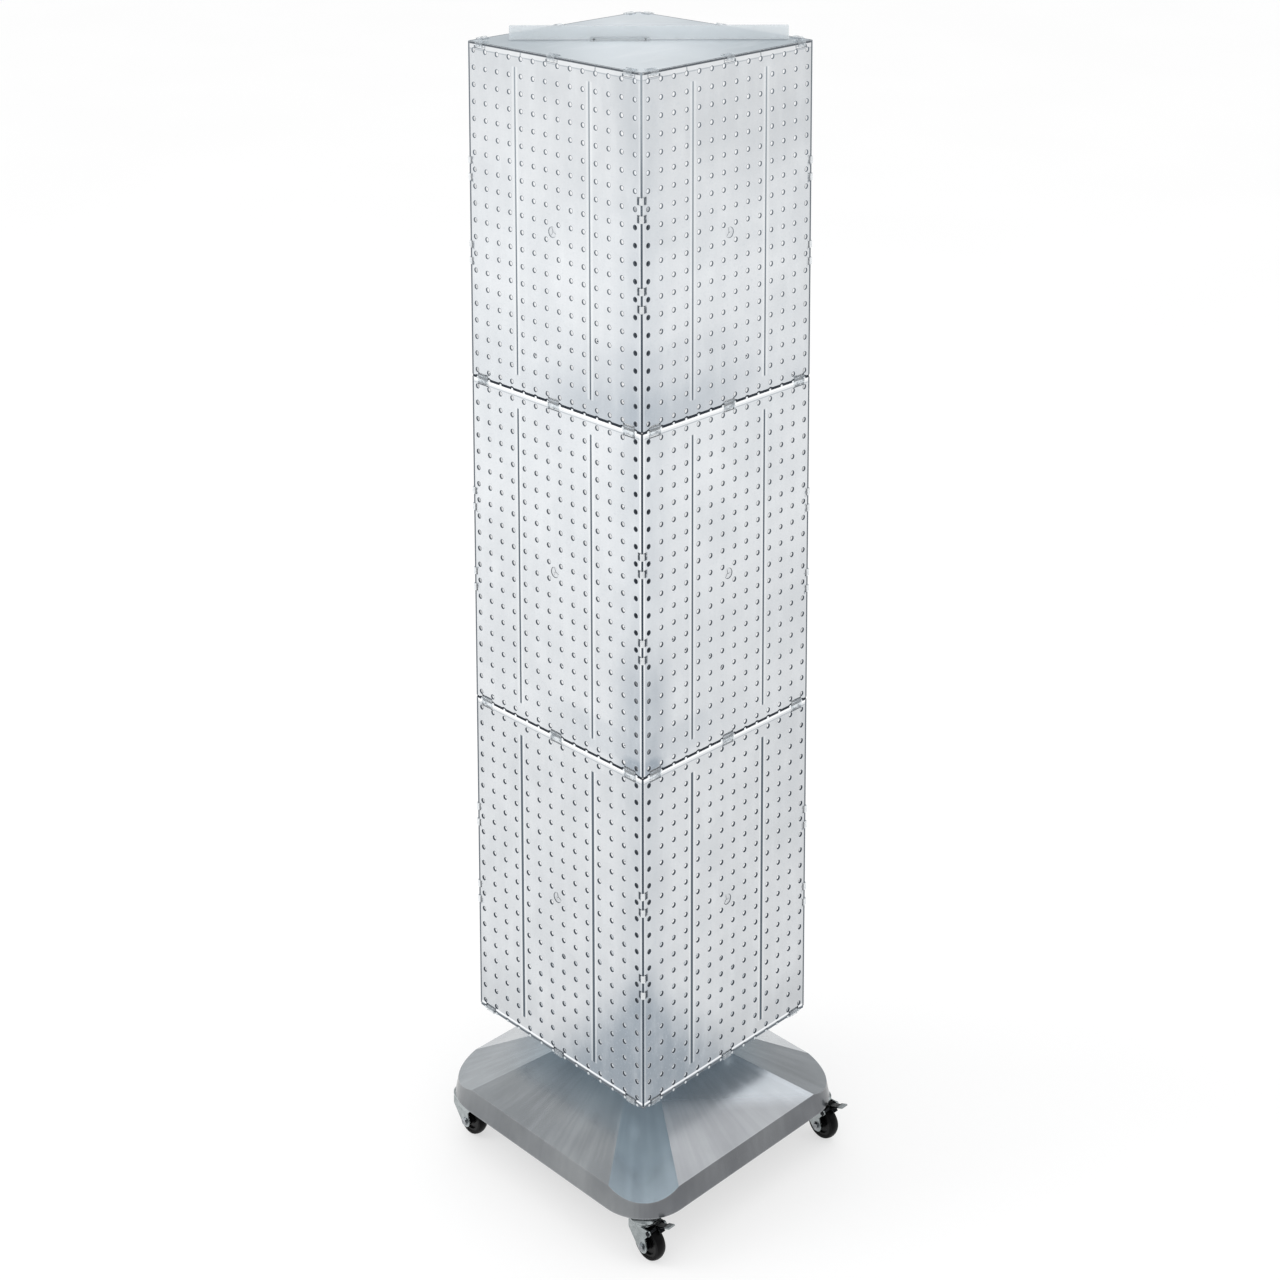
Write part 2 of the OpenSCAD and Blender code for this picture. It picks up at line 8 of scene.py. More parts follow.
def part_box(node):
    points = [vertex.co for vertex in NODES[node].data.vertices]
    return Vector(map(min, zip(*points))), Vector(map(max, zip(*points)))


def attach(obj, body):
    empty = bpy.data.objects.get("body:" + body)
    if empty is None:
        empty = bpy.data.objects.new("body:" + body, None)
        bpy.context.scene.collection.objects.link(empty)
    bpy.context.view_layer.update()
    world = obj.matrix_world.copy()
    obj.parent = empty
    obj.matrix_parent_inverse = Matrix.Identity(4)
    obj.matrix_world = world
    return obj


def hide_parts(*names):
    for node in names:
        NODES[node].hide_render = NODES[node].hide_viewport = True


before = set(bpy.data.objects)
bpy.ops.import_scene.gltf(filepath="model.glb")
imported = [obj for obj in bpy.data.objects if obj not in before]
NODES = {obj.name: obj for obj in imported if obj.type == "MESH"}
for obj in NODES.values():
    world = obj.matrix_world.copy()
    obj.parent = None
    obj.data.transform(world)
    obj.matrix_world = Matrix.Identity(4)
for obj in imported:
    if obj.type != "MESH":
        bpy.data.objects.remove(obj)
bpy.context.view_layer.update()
scene = bpy.context.scene
scene.view_settings.view_transform = "Standard"
scene.view_settings.look = "None"

MM = 0.001

# ---------------------------------------------------------------- sizes, read from the frame
lo_p, hi_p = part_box("lower_front_panel")
lo_m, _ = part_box("middle_front_panel")
HALF = max(abs(lo_p.x), abs(hi_p.x)) + 0.0001
HALF = round(HALF * 10000) / 10000
FRONT_Y = lo_p.y
TIER_H = round((lo_m.z - lo_p.z) * 1e5) / 1e5
lid_lo, lid_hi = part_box("tower_lid")
TOWER_TOP = round(lid_hi.z * 1e4) / 1e4
TOWER_Z = round((TOWER_TOP - 3 * TIER_H) * 1e4) / 1e4
PITCH = TIER_H / 20.0
COLS, ROWS = 14, 20
HALF = PITCH * COLS / 2
WALL = 3.0 * MM


# ---------------------------------------------------------------- node helpers
class Nodes:
    """Small builder for shader node trees."""

    def __init__(self, name):
        self.mat = bpy.data.materials.new(name)
        self.mat.use_nodes = True
        self.t = self.mat.node_tree
        self.t.nodes.clear()
        self.out = self.t.nodes.new("ShaderNodeOutputMaterial")

    def new(self, kind, **props):
        n = self.t.nodes.new(kind)
        for k, v in props.items():
            setattr(n, k, v)
        return n

    def put(self, socket, value):
        if hasattr(value, "is_output") or isinstance(value, bpy.types.NodeSocket):
            self.t.links.new(value, socket)
        elif value is not None:
            if isinstance(value, (tuple, list)) and len(value) == 3 and socket.type == "RGBA":
                value = (*value, 1.0)
            socket.default_value = value

    def coords(self, kind="Object"):
        n = self.new("ShaderNodeTexCoord")
        return n.outputs[kind]

    def xyz(self, vec):
        n = self.new("ShaderNodeSeparateXYZ")
        self.put(n.inputs[0], vec)
        return n.outputs[0], n.outputs[1], n.outputs[2]

    def math(self, op, a, b=None, c=None, clamp=False):
        n = self.new("ShaderNodeMath", operation=op, use_clamp=clamp)
        self.put(n.inputs[0], a)
        if b is not None:
            self.put(n.inputs[1], b)
        if c is not None:
            self.put(n.inputs[2], c)
        return n.outputs[0]

    def ramp(self, value, a, b, lo=0.0, hi=1.0, smooth=True):
        """value going a..b mapped to lo..hi, clamped"""
        n = self.new("ShaderNodeMapRange", clamp=True)
        n.interpolation_type = "SMOOTHSTEP" if smooth else "LINEAR"
        self.put(n.inputs[0], value)
        n.inputs[1].default_value = a
        n.inputs[2].default_value = b
        n.inputs[3].default_value = lo
        n.inputs[4].default_value = hi
        return n.outputs[0]

    def noise(self, vec, scale, detail=2.0, rough=0.5, distort=0.0):
        n = self.new("ShaderNodeTexNoise")
        self.put(n.inputs["Vector"], vec)
        n.inputs["Scale"].default_value = scale
        n.inputs["Detail"].default_value = detail
        n.inputs["Roughness"].default_value = rough
        n.inputs["Distortion"].default_value = distort
        return n.outputs["Fac"]

    def voronoi(self, vec, scale, feature="F1", smooth=None):
        n = self.new("ShaderNodeTexVoronoi", feature=feature)
        self.put(n.inputs["Vector"], vec)
        n.inputs["Scale"].default_value = scale
        return n.outputs["Distance"]

    def scale_vec(self, vec, s):
        n = self.new("ShaderNodeMapping")
        self.put(n.inputs["Vector"], vec)
        n.inputs["Scale"].default_value = s
        return n.outputs[0]

    def mix(self, fac, a, b, blend="MIX"):
        n = self.new("ShaderNodeMix", data_type="RGBA", blend_type=blend)
        n.clamp_factor = True
        self.put(n.inputs[0], fac)
        self.put(n.inputs[6], a)
        self.put(n.inputs[7], b)
        return n.outputs[2]

    def stops(self, value, table):
        """colour along a list of (position, colour) stops"""
        n = self.new("ShaderNodeValToRGB")
        self.put(n.inputs[0], value)
        el = n.color_ramp.elements
        while len(el) < len(table):
            el.new(0.5)
        for e, (p, c) in zip(el, table):
            e.position = p
            e.color = (*c, 1.0)
        return n.outputs[0]

    def combine(self, r, g, b):
        n = self.new("ShaderNodeCombineColor")
        for i, q in enumerate((r, g, b)):
            self.put(n.inputs[i], q)
        return n.outputs[0]

    def height(self):
        """0 at the foot of the tower, 1 at its top"""
        geo = self.new("ShaderNodeNewGeometry")
        z = self.xyz(geo.outputs["Position"])[2]
        return self.ramp(z, TOWER_Z, TOWER_TOP, smooth=False)

    def edges(self, radius, a=0.985, b=0.82):
        """1 along folds and arrises, 0 on open faces, however sparse the mesh"""
        bev = self.new("ShaderNodeBevel", samples=4)
        bev.inputs["Radius"].default_value = radius
        geo = self.new("ShaderNodeNewGeometry")
        dot = self.new("ShaderNodeVectorMath", operation="DOT_PRODUCT")
        self.put(dot.inputs[0], bev.outputs[0])
        self.put(dot.inputs[1], geo.outputs["Normal"])
        return self.ramp(dot.outputs["Value"], a, b)

    def bump(self, height, strength=0.3, distance=0.0005, normal=None):
        n = self.new("ShaderNodeBump")
        self.put(n.inputs["Height"], height)
        n.inputs["Strength"].default_value = strength
        n.inputs["Distance"].default_value = distance
        if normal is not None:
            self.put(n.inputs["Normal"], normal)
        return n.outputs[0]

    def principled(self, **kw):
        n = self.new("ShaderNodeBsdfPrincipled")
        names = {
            "color": "Base Color", "rough": "Roughness", "metal": "Metallic", "normal": "Normal",
            "spec": "Specular IOR Level", "coat": "Coat Weight", "coat_rough": "Coat Roughness",
            "trans": "Transmission Weight", "ior": "IOR", "emit": "Emission Color",
            "emit_strength": "Emission Strength", "alpha": "Alpha", "sheen": "Sheen Weight",
            "aniso": "Anisotropic",
        }
        for k, v in kw.items():
            self.put(n.inputs[names[k]], v)
        return n.outputs[0]

    def finish(self, shader):
        self.t.links.new(shader, self.out.inputs["Surface"])
        return self.mat


def srgb(r, g, b):
    def f(c):
        c /= 255.0
        return c / 12.92 if c <= 0.04045 else ((c + 0.055) / 1.055) ** 2.4
    return (f(r), f(g), f(b))


# ---------------------------------------------------------------- materials: clear panels
def panel_face(name, tone):
    """Textured clear pegboard sheet, outer side, with painted light and shade. Object x runs across, z up the tier.
    The object colour says which upright is the dark one, the one given painted shade (red), and which tier it is
    (green)."""
    m = Nodes(name)
    co = m.coords()
    x, y, z = m.xyz(co)
    ax = m.math("ABSOLUTE", x)
    info = m.new("ShaderNodeObjectInfo")
    sep = m.new("ShaderNodeSeparateColor")
    m.put(sep.inputs[0], info.outputs["Color"])
    side, tier = sep.outputs[0], sep.outputs[1]
    u = m.math("SUBTRACT", HALF, m.math("MULTIPLY", x, m.math("MULTIPLY_ADD", side, 2.0, -1.0)))
    shift = m.new("ShaderNodeVectorMath", operation="ADD")
    m.put(shift.inputs[0], co)
    comb = m.new("ShaderNodeCombineXYZ")
    m.put(comb.inputs[1], m.math("MULTIPLY", info.outputs["Random"], 7.0))
    m.put(shift.inputs[1], comb.outputs[0])
    wv = shift.outputs[0]
    cloud = m.noise(wv, 9.0, 3.0, 0.55)
    streak = m.noise(m.scale_vec(wv, (1.0, 1.0, 0.35)), 38.0, 3.0, 0.6)
    pebble = m.noise(wv, 520.0, 3.0, 0.62)
    speck = m.noise(wv, 260.0, 2.0, 0.5)

    is1 = m.ramp(tier, 0.2, 0.3, smooth=False)
    is2 = m.ramp(tier, 0.7, 0.8, smooth=False)
    is0 = m.math("SUBTRACT", 1.0, is1)

    def pick(a0, a1, a2):
        p = m.math("MULTIPLY_ADD", m.math("SUBTRACT", a1, a0), is1, a0)
        return m.math("MULTIPLY_ADD", m.math("SUBTRACT", a2, a1), is2, p)

    # painted shading: each tier's brightness changes with height
    level = pick(m.ramp(z, 0.02, 0.12, 0.655, 0.715), m.ramp(z, 0.05, 0.45, 0.755, 0.825), m.ramp(z, 0.20, 0.47, 0.815, 0.715))
    level = m.math("MULTIPLY", level, tone)
    # painted shading: the faces on the far side of the dark upright fall off a little in brightness
    fall = m.math("MULTIPLY_ADD", m.math("SUBTRACT", 1.0, m.ramp(u, 0.0, 0.35, 1.0 - 0.040, 1.0 + 0.050, False)), m.math("SUBTRACT", 1.0, side), 1.0)
    level = m.math("MULTIPLY", level, fall)
    base = m.combine(m.math("MULTIPLY", level, 0.970), level, m.math("MULTIPLY", level, 1.030))
    # painted shade: the sheet reads darker where it is seen through to the deep corner, most at the foot
    q = m.math("ADD", m.math("DIVIDE", u, 0.168), m.math("DIVIDE", z, 0.172))
    d0 = m.ramp(q, 1.50, 0.70)
    d1 = m.math("MULTIPLY", m.math("MULTIPLY", m.ramp(z, 0.215, 0.110), m.ramp(u, 0.085, 0.014)), 0.42)
    band = m.ramp(m.math("ABSOLUTE", m.math("SUBTRACT", z, 0.036)), 0.036, 0.016)
    d1 = m.math("MAXIMUM", d1, m.math("MULTIPLY", m.math("MULTIPLY", band, m.ramp(u, 0.20, 0.10)), 0.30))
    d1 = m.math("MAXIMUM", d1, m.math("MULTIPLY", m.ramp(z, 0.042, 0.012), m.ramp(u, 0.060, 0.018)))
    d2 = m.math("ADD", m.ramp(z, 0.135, 0.095, 0.0, 0.20), m.ramp(z, 0.085, 0.020, 0.0, 0.36))
    d2 = m.math("MULTIPLY", d2, m.ramp(u, 0.26, 0.08, 0.30, 1.0))
    deep = m.math("ADD", pick(d0, d1, d2), m.math("MULTIPLY", m.ramp(u, 0.070, 0.012), 0.24), clamp=True)
    # it shows only when the sheet is looked at from the side, not square on
    geo = m.new("ShaderNodeNewGeometry")
    facing = m.new("ShaderNodeVectorMath", operation="DOT_PRODUCT")
    m.put(facing.inputs[0], geo.outputs["Incoming"])
    m.put(facing.inputs[1], geo.outputs["Normal"])
    deep = m.math("MULTIPLY", deep, m.ramp(facing.outputs["Value"], 0.94, 0.78, 0.12, 1.0))
    base = m.mix(1.0, base, m.mix(deep, (1.0, 1.0, 1.0), (0.455, 0.51, 0.565)), "MULTIPLY")
    # moulding texture
    base = m.mix(1.0, base, m.mix(m.ramp(cloud, 0.33, 0.68), (0.94, 0.947, 0.953), (1.03, 1.03, 1.03)), "MULTIPLY")
    base = m.mix(m.math("MULTIPLY", m.ramp(streak, 0.42, 0.74), 0.16), base, (0.86, 0.89, 0.91))
    base = m.mix(m.math("MULTIPLY", m.ramp(speck, 0.54, 0.74), 0.26), base, (0.50, 0.55, 0.60))
    base = m.mix(m.math("MULTIPLY", m.ramp(pebble, 0.56, 0.72), 0.45), base, m.mix(1.0, base, (1.16, 1.16, 1.16), "MULTIPLY"))
    # moulded uprights behind the sheet show as thin dark lines of painted shade with bright flanks of painted
    # highlight
    rib = m.math("ABSOLUTE", m.math("SUBTRACT", ax, 3 * PITCH))
    inz = m.math("MULTIPLY", m.ramp(z, PITCH - 0.001, PITCH + 0.001), m.ramp(z, TIER_H - PITCH + 0.001, TIER_H - PITCH - 0.001))
    flank = m.math("MULTIPLY", m.ramp(rib, 0.0075, 0.0040), inz)
    base = m.mix(m.math("MULTIPLY", flank, 0.32), base, (0.90, 0.92, 0.93))
    rib_line_shade = m.stops(m.height(), [(0.0, srgb(84, 94, 103)), (0.60, srgb(82, 92, 102)), (0.75, srgb(104, 113, 122)), (0.95, srgb(150, 158, 165))])
    line = m.math("MULTIPLY", m.ramp(m.math("SUBTRACT", rib, pick(0.0024, 0.0017, 0.0015)), 0.0003, -0.0003), inz)
    base = m.mix(m.math("MULTIPLY", line, 0.95), base, rib_line_shade)
    # painted highlight: a faint bright rim round every peg hole
    fx = m.math("SUBTRACT", m.math("FRACT", m.math("ADD", m.math("DIVIDE", x, PITCH), 20.0)), 0.5)
    fz = m.math("SUBTRACT", m.math("FRACT", m.math("ADD", m.math("DIVIDE", z, PITCH), 20.0)), 0.5)
    rr = m.math("SQRT", m.math("ADD", m.math("MULTIPLY", fx, fx), m.math("MULTIPLY", fz, fz)))
    base = m.mix(m.math("MULTIPLY", m.ramp(rr, 0.200, 0.160), 0.40), base, (0.93, 0.94, 0.95))
    # white lip along the top of a tier, with the thin line below it
    et = m.math("SUBTRACT", TIER_H, z)
    two = m.math("MAXIMUM", m.ramp(et, 0.0040, 0.0028), m.math("MULTIPLY", m.ramp(et, 0.0066, 0.0058), 0.34))
    lip = pick(two, two, m.math("MULTIPLY", m.ramp(et, 0.0105, 0.0090), 0.26))
    base = m.mix(lip, base, (0.97, 0.98, 0.985))
    thin_at = pick(0.0071, 0.0071, 0.0106)
    thin = m.ramp(m.math("ABSOLUTE", m.math("SUBTRACT", et, thin_at)), 0.0013, 0.0005)
    base = m.mix(m.math("MULTIPLY", thin, 0.50), base, srgb(140, 150, 158))
    # the lid's edge reads as a dark line along the very top
    rim = m.math("MULTIPLY", m.ramp(et, 0.0037, 0.0031), is2)
    base = m.mix(m.math("MULTIPLY", rim, 0.96), base, srgb(60, 68, 77))
    # painted shade: short dark ticks that hang from it beside every third cell line, where tabs inside the lid show
    # through
    xs = m.math("MULTIPLY", x, m.math("MULTIPLY_ADD", side, 2.0, -1.0))
    xm = m.math("SUBTRACT", m.math("MULTIPLY", m.math("FRACT", m.math("ADD", m.math("DIVIDE", m.math("SUBTRACT", xs, PITCH / 2), 3 * PITCH), 20.5)), 3 * PITCH), 1.5 * PITCH)
    tick = m.ramp(m.math("ABSOLUTE", m.math("MULTIPLY_ADD", et, 0.16, m.math("ADD", xm, -0.0008))), 0.0016, 0.0008)
    tick = m.math("MULTIPLY", m.math("MULTIPLY", tick, m.ramp(et, 0.0120, 0.0090)), is2)
    base = m.mix(m.math("MULTIPLY", tick, 0.55), base, srgb(96, 105, 113))
    # bright line along the foot of the lowest tier, greyer below it
    foot = m.math("MULTIPLY", m.ramp(z, 0.0058, 0.0048), is0)
    base = m.mix(m.math("MULTIPLY", foot, 0.75), base, srgb(128, 138, 146))
    fl = m.math("MULTIPLY", m.ramp(m.math("ABSOLUTE", m.math("SUBTRACT", z, 0.0072)), 0.0020, 0.0012), is0)
    base = m.mix(m.math("MULTIPLY", fl, 0.90), base, (0.90, 0.92, 0.94))
    border = m.ramp(ax, HALF - 0.0062, HALF - 0.0044)
    base = m.mix(m.math("MULTIPLY", border, pick(0.22, 0.60, 0.22)), base, (0.93, 0.95, 0.96))

    # painted shade: a slate line down the side away from the dark upright
    far = m.math("SUBTRACT", 2 * HALF, u)
    away = m.ramp(far, 0.0050, 0.0040)
    base = m.mix(m.math("MULTIPLY", away, 0.95), base, srgb(74, 83, 92))

    # the corner clips throw dark refractions beside the dark upright and mottled ones on the other side
    rows = None
    for n in (7, 8, 12, 13):
        q = m.math("ABSOLUTE", m.math("SUBTRACT", z, TIER_H - n * PITCH))
        rows = q if rows is None else m.math("MINIMUM", rows, q)
    inrow = m.ramp(rows, 0.0064, 0.0050)
    blot = m.noise(wv, 210.0, 2.0, 0.6, 0.8)
    at = m.math("MULTIPLY_ADD", side, -0.0021, 0.0080)
    wide = m.math("MULTIPLY_ADD", side, 0.0009, 0.0018)
    bar = m.math("SUBTRACT", m.math("ABSOLUTE", m.math("SUBTRACT", u, at)), wide)
    bar = m.math("MULTIPLY", m.math("MULTIPLY", m.ramp(bar, 0.0007, -0.0003), inrow), m.ramp(blot, 0.34, 0.50, 0.35, 0.90))
    base = m.mix(bar, base, srgb(62, 71, 81))
    mot = m.math("MULTIPLY", m.math("MULTIPLY", m.ramp(far, 0.0110, 0.0085), m.ramp(rows, 0.0085, 0.0065)), m.ramp(blot, 0.50, 0.58, 0.0, 0.70))
    base = m.mix(mot, base, srgb(104, 114, 124))

    h = m.math("ADD", m.math("MULTIPLY", pebble, 0.6), m.math("MULTIPLY", speck, 0.6))
    nrm = m.bump(h, 0.35, 0.0006)
    rough = m.ramp(pebble, 0.3, 0.7, 0.28, 0.46)
    shine = m.math("SUBTRACT", 1.0, line)
    return m.finish(m.principled(color=base, rough=rough, spec=m.math("MULTIPLY", shine, 0.5), normal=nrm, coat=m.math("MULTIPLY", shine, 0.10), coat_rough=0.15))


def panel_inner(name):
    """Inner side of the sheet: glows with the light that comes through it."""
    m = Nodes(name)
    co = m.coords()
    x, y, z = m.xyz(co)
    ax = m.math("ABSOLUTE", x)
    n = m.noise(co, 30.0, 2.0)
    k = m.ramp(ax, HALF - 0.030, HALF - 0.008, 1.04, 0.70)
    k = m.math("MULTIPLY", k, m.ramp(n, 0.3, 0.7, 0.95, 1.0))
    k = m.math("MULTIPLY", k, m.stops(m.height(), [(0.0, (0.92,) * 3), (0.33, (0.90,) * 3), (0.45, (0.78,) * 3), (0.62, (0.78,) * 3), (0.74, (0.93,) * 3)]))
    e = m.new("ShaderNodeEmission")
    m.put(e.inputs[0], (0.98, 0.99, 1.0))
    m.put(e.inputs[1], k)
    m.mat.cycles.emission_sampling = "NONE"
    return m.finish(e.outputs[0])


def panel_edge(name, table, spread=0.10, rough=0.34, spec=0.35, bump=0.10):
    """Cut edges and hole walls of the clear sheet: slate, as clear plastic seen edge-on,
    with painted shading that makes them paler towards the top of the tower."""
    m = Nodes(name)
    co = m.coords()
    n = m.noise(co, 120.0, 2.0)
    c = m.stops(m.height(), table)
    c = m.mix(1.0, c, m.mix(m.ramp(n, 0.35, 0.7), (1 - spread,) * 3, (1 + spread,) * 3), "MULTIPLY")
    nrm = m.bump(n, bump, 0.0003)
    return m.finish(m.principled(color=c, rough=rough, spec=spec, normal=nrm))


def panel_wall(name, table):
    """Wall of a peg hole: slate near the outer face, then lit by the sheet. Beside the dark upright,
    where a flange stands behind the hole, it stays dark."""
    m = Nodes(name)
    co = m.coords()
    x, y, z = m.xyz(co)
    h = m.height()
    n = m.noise(co, 120.0, 2.0)
    info = m.new("ShaderNodeObjectInfo")
    sep = m.new("ShaderNodeSeparateColor")
    m.put(sep.inputs[0], info.outputs["Color"])
    u = m.math("SUBTRACT", HALF, m.math("MULTIPLY", x, m.math("MULTIPLY_ADD", sep.outputs[0], 2.0, -1.0)))
    behind = m.stops(h, [(0.075, (0.0,) * 3), (0.10, (1.0,) * 3), (0.338, (1.0,) * 3), (0.345, (0.60,) * 3), (0.425, (0.60,) * 3), (0.445, (1.0,) * 3), (0.866, (1.0,) * 3), (0.882, (0.0,) * 3)])
    shut = m.math("MULTIPLY", m.ramp(u, 0.020, 0.018), behind)
    # the dark part reaches further in lower down, where the holes are seen from more steeply above
    deep = m.math("MULTIPLY", m.stops(h, [(0.0, (0.8,) * 3), (0.33, (0.8,) * 3), (0.34, (0.4,) * 3), (0.62, (0.25,) * 3), (0.70, (0.0,) * 3)]), 0.001)
    depth = m.math("SUBTRACT", m.math("ADD", y, HALF), deep)
    t = m.math("MULTIPLY", m.ramp(depth, 0.0013, 0.0020), m.math("SUBTRACT", 1.0, shut))
    c = m.mix(1.0, m.stops(h, table), m.mix(m.ramp(n, 0.35, 0.7), (0.92,) * 3, (1.08,) * 3), "MULTIPLY")
    d = m.principled(color=c, rough=m.ramp(n, 0.3, 0.7, 0.30, 0.42), spec=0.30, normal=m.bump(n, 0.1, 0.0003))
    e = m.new("ShaderNodeEmission")
    m.put(e.inputs[0], (0.95, 0.975, 1.0))
    m.put(e.inputs[1], m.math("MULTIPLY", m.ramp(n, 0.3, 0.7, 0.94, 1.0), m.stops(h, [(0.0, (0.90,) * 3), (0.33, (0.88,) * 3), (0.45, (0.70,) * 3), (0.62, (0.70,) * 3), (0.74, (0.86,) * 3)])))
    mx = m.new("ShaderNodeMixShader")
    m.put(mx.inputs[0], t)
    m.put(mx.inputs[1], d)
    m.put(mx.inputs[2], e.outputs[0])
    m.mat.cycles.emission_sampling = "NONE"
    return m.finish(mx.outputs[0])


def panel_flange(name):
    """Upright flange inside the near corner: painted dark behind the holes, with a painted glow near the top."""
    m = Nodes(name)
    h = m.height()
    n = m.noise(m.coords(), 90.0, 2.0)
    k = m.stops(h, [(0.0, (0.40,) * 3), (0.085, (0.40,) * 3), (0.105, (0.10,) * 3), (0.335, (0.04,) * 3), (0.345, (0.22,) * 3), (0.42, (0.22,) * 3), (0.445, (0.0,) * 3), (0.866, (0.0,) * 3), (0.882, (1.0,) * 3)])
    e = m.new("ShaderNodeEmission")
    m.put(e.inputs[0], (0.88, 0.91, 0.94))
    m.put(e.inputs[1], m.math("MULTIPLY", k, m.ramp(n, 0.3, 0.7, 0.85, 0.95)))
    d = m.principled(color=srgb(46, 52, 61), rough=0.5)
    a = m.new("ShaderNodeAddShader")
    m.put(a.inputs[0], e.outputs[0])
    m.put(a.inputs[1], d)
    m.mat.cycles.emission_sampling = "NONE"
    return m.finish(a.outputs[0])


def clear_glass(name, body, see=0.5, rough=0.16, shade=0.72, mottle=0.0, slots=False):
    """Clear moulded plastic: partly see-through with a pale body, painted grey as shade where it turns away
    and with painted highlights along its edges."""
    m = Nodes(name)
    co = m.coords()
    n = m.noise(co, 350.0, 2.0)
    big = m.noise(co, 40.0, 2.0)
    nrm = m.bump(n, 0.12, 0.0004)
    lw = m.new("ShaderNodeLayerWeight")
    lw.inputs[0].default_value = 0.40
    edge = m.edges(0.0006)
    c = m.mix(lw.outputs["Facing"], body, tuple(q * shade for q in body))
    c = m.mix(m.math("MULTIPLY", m.ramp(big, 0.4, 0.7), 0.3), c, (0.93, 0.95, 0.97))
    if mottle:
        spots = m.noise(co, 170.0, 2.0, 0.5, 0.6)
        dots = m.ramp(spots, 0.52, 0.60)
        c = m.mix(m.math("MULTIPLY", dots, mottle), c, srgb(84, 94, 103))
        c = m.mix(m.math("MULTIPLY", m.ramp(spots, 0.46, 0.36), mottle), c, (0.95, 0.96, 0.97))
    c = m.mix(m.math("MULTIPLY", edge, 0.6), c, (0.97, 0.98, 0.99))
    p = m.principled(color=c, rough=m.ramp(n, 0.3, 0.7, rough, rough + 0.10), spec=0.5, normal=nrm)
    t = m.new("ShaderNodeBsdfTransparent")
    m.put(t.inputs[0], (0.965, 0.975, 0.98))
    solid = m.math("ADD", m.math("MULTIPLY", lw.outputs["Facing"], 0.30), m.math("MULTIPLY", edge, 0.35))
    if mottle:
        solid = m.math("ADD", solid, m.math("MULTIPLY", dots, 0.5 * mottle))
    mx = m.new("ShaderNodeMixShader")
    m.put(mx.inputs[0], m.math("ADD", solid, 1.0 - see, clamp=True))
    m.put(mx.inputs[1], t.outputs[0])
    m.put(mx.inputs[2], p)
    if slots:
        # painted shade: the ends of a corner clip sink into their slots and read dark
        x, y, z = m.xyz(co)
        t_in = m.math("SUBTRACT", HALF, m.math("MINIMUM", m.math("ABSOLUTE", x), m.math("ABSOLUTE", y)))
        dark = m.principled(color=m.mix(m.ramp(n, 0.3, 0.7), srgb(52, 60, 70), srgb(96, 105, 114)), rough=0.4, spec=0.3, normal=nrm)
        mo = m.new("ShaderNodeMixShader")
        # only on the two dark uprights; the other two stay clear
        m.put(mo.inputs[0], m.math("MULTIPLY", m.ramp(t_in, 0.0026, 0.0032), m.ramp(m.math("MULTIPLY", x, y), 0.0001, -0.0001)))
        m.put(mo.inputs[1], mx.outputs[0])
        m.put(mo.inputs[2], dark)
        mx = mo
    return m.finish(mx.outputs[0])


TONE = 0.88
M_FACE = panel_face("clear_panel_face", TONE)
M_FACE_LOW = panel_face("clear_panel_face_lower", TONE)
M_INNER = panel_inner("clear_panel_inner")
M_EDGE = panel_edge("clear_panel_edge", [(0.0, srgb(112, 120, 128)), (0.004, srgb(66, 74, 84)), (0.55, srgb(60, 67, 77)), (0.70, srgb(88, 96, 105)), (0.97, srgb(140, 148, 156))])
M_WALL = panel_wall("clear_panel_hole_wall", [(0.0, srgb(58, 66, 76)), (0.55, srgb(54, 61, 71)), (0.70, srgb(78, 86, 95)), (0.97, srgb(122, 130, 138))])
M_CORNER = panel_edge("clear_panel_corner", [(0.0, srgb(70, 79, 88)), (0.66, srgb(58, 67, 77)), (0.86, srgb(84, 93, 102)), (0.955, srgb(150, 158, 165))], 0.04, 0.6, 0.0, 0.02)
M_JOINT = panel_edge("clear_panel_joint", [(0.0, srgb(118, 126, 133)), (0.004, srgb(34, 40, 49)), (0.98, srgb(40, 47, 57)), (0.999, srgb(96, 104, 113))], 0.08, 0.5, 0.15)
M_RIM = panel_edge("clear_panel_hole_rim", [(0.0, srgb(84, 93, 102)), (0.40, srgb(92, 101, 110)), (0.62, srgb(94, 103, 112)), (0.97, srgb(106, 115, 124))], 0.10, 0.5, 0.10)
M_LIP = panel_edge("clear_panel_lip", [(0.0, srgb(200, 206, 210)), (0.01, srgb(236, 240, 243)), (1.0, srgb(238, 242, 244))], 0.03, 0.2)
M_FLANGE = panel_flange("clear_panel_flange")


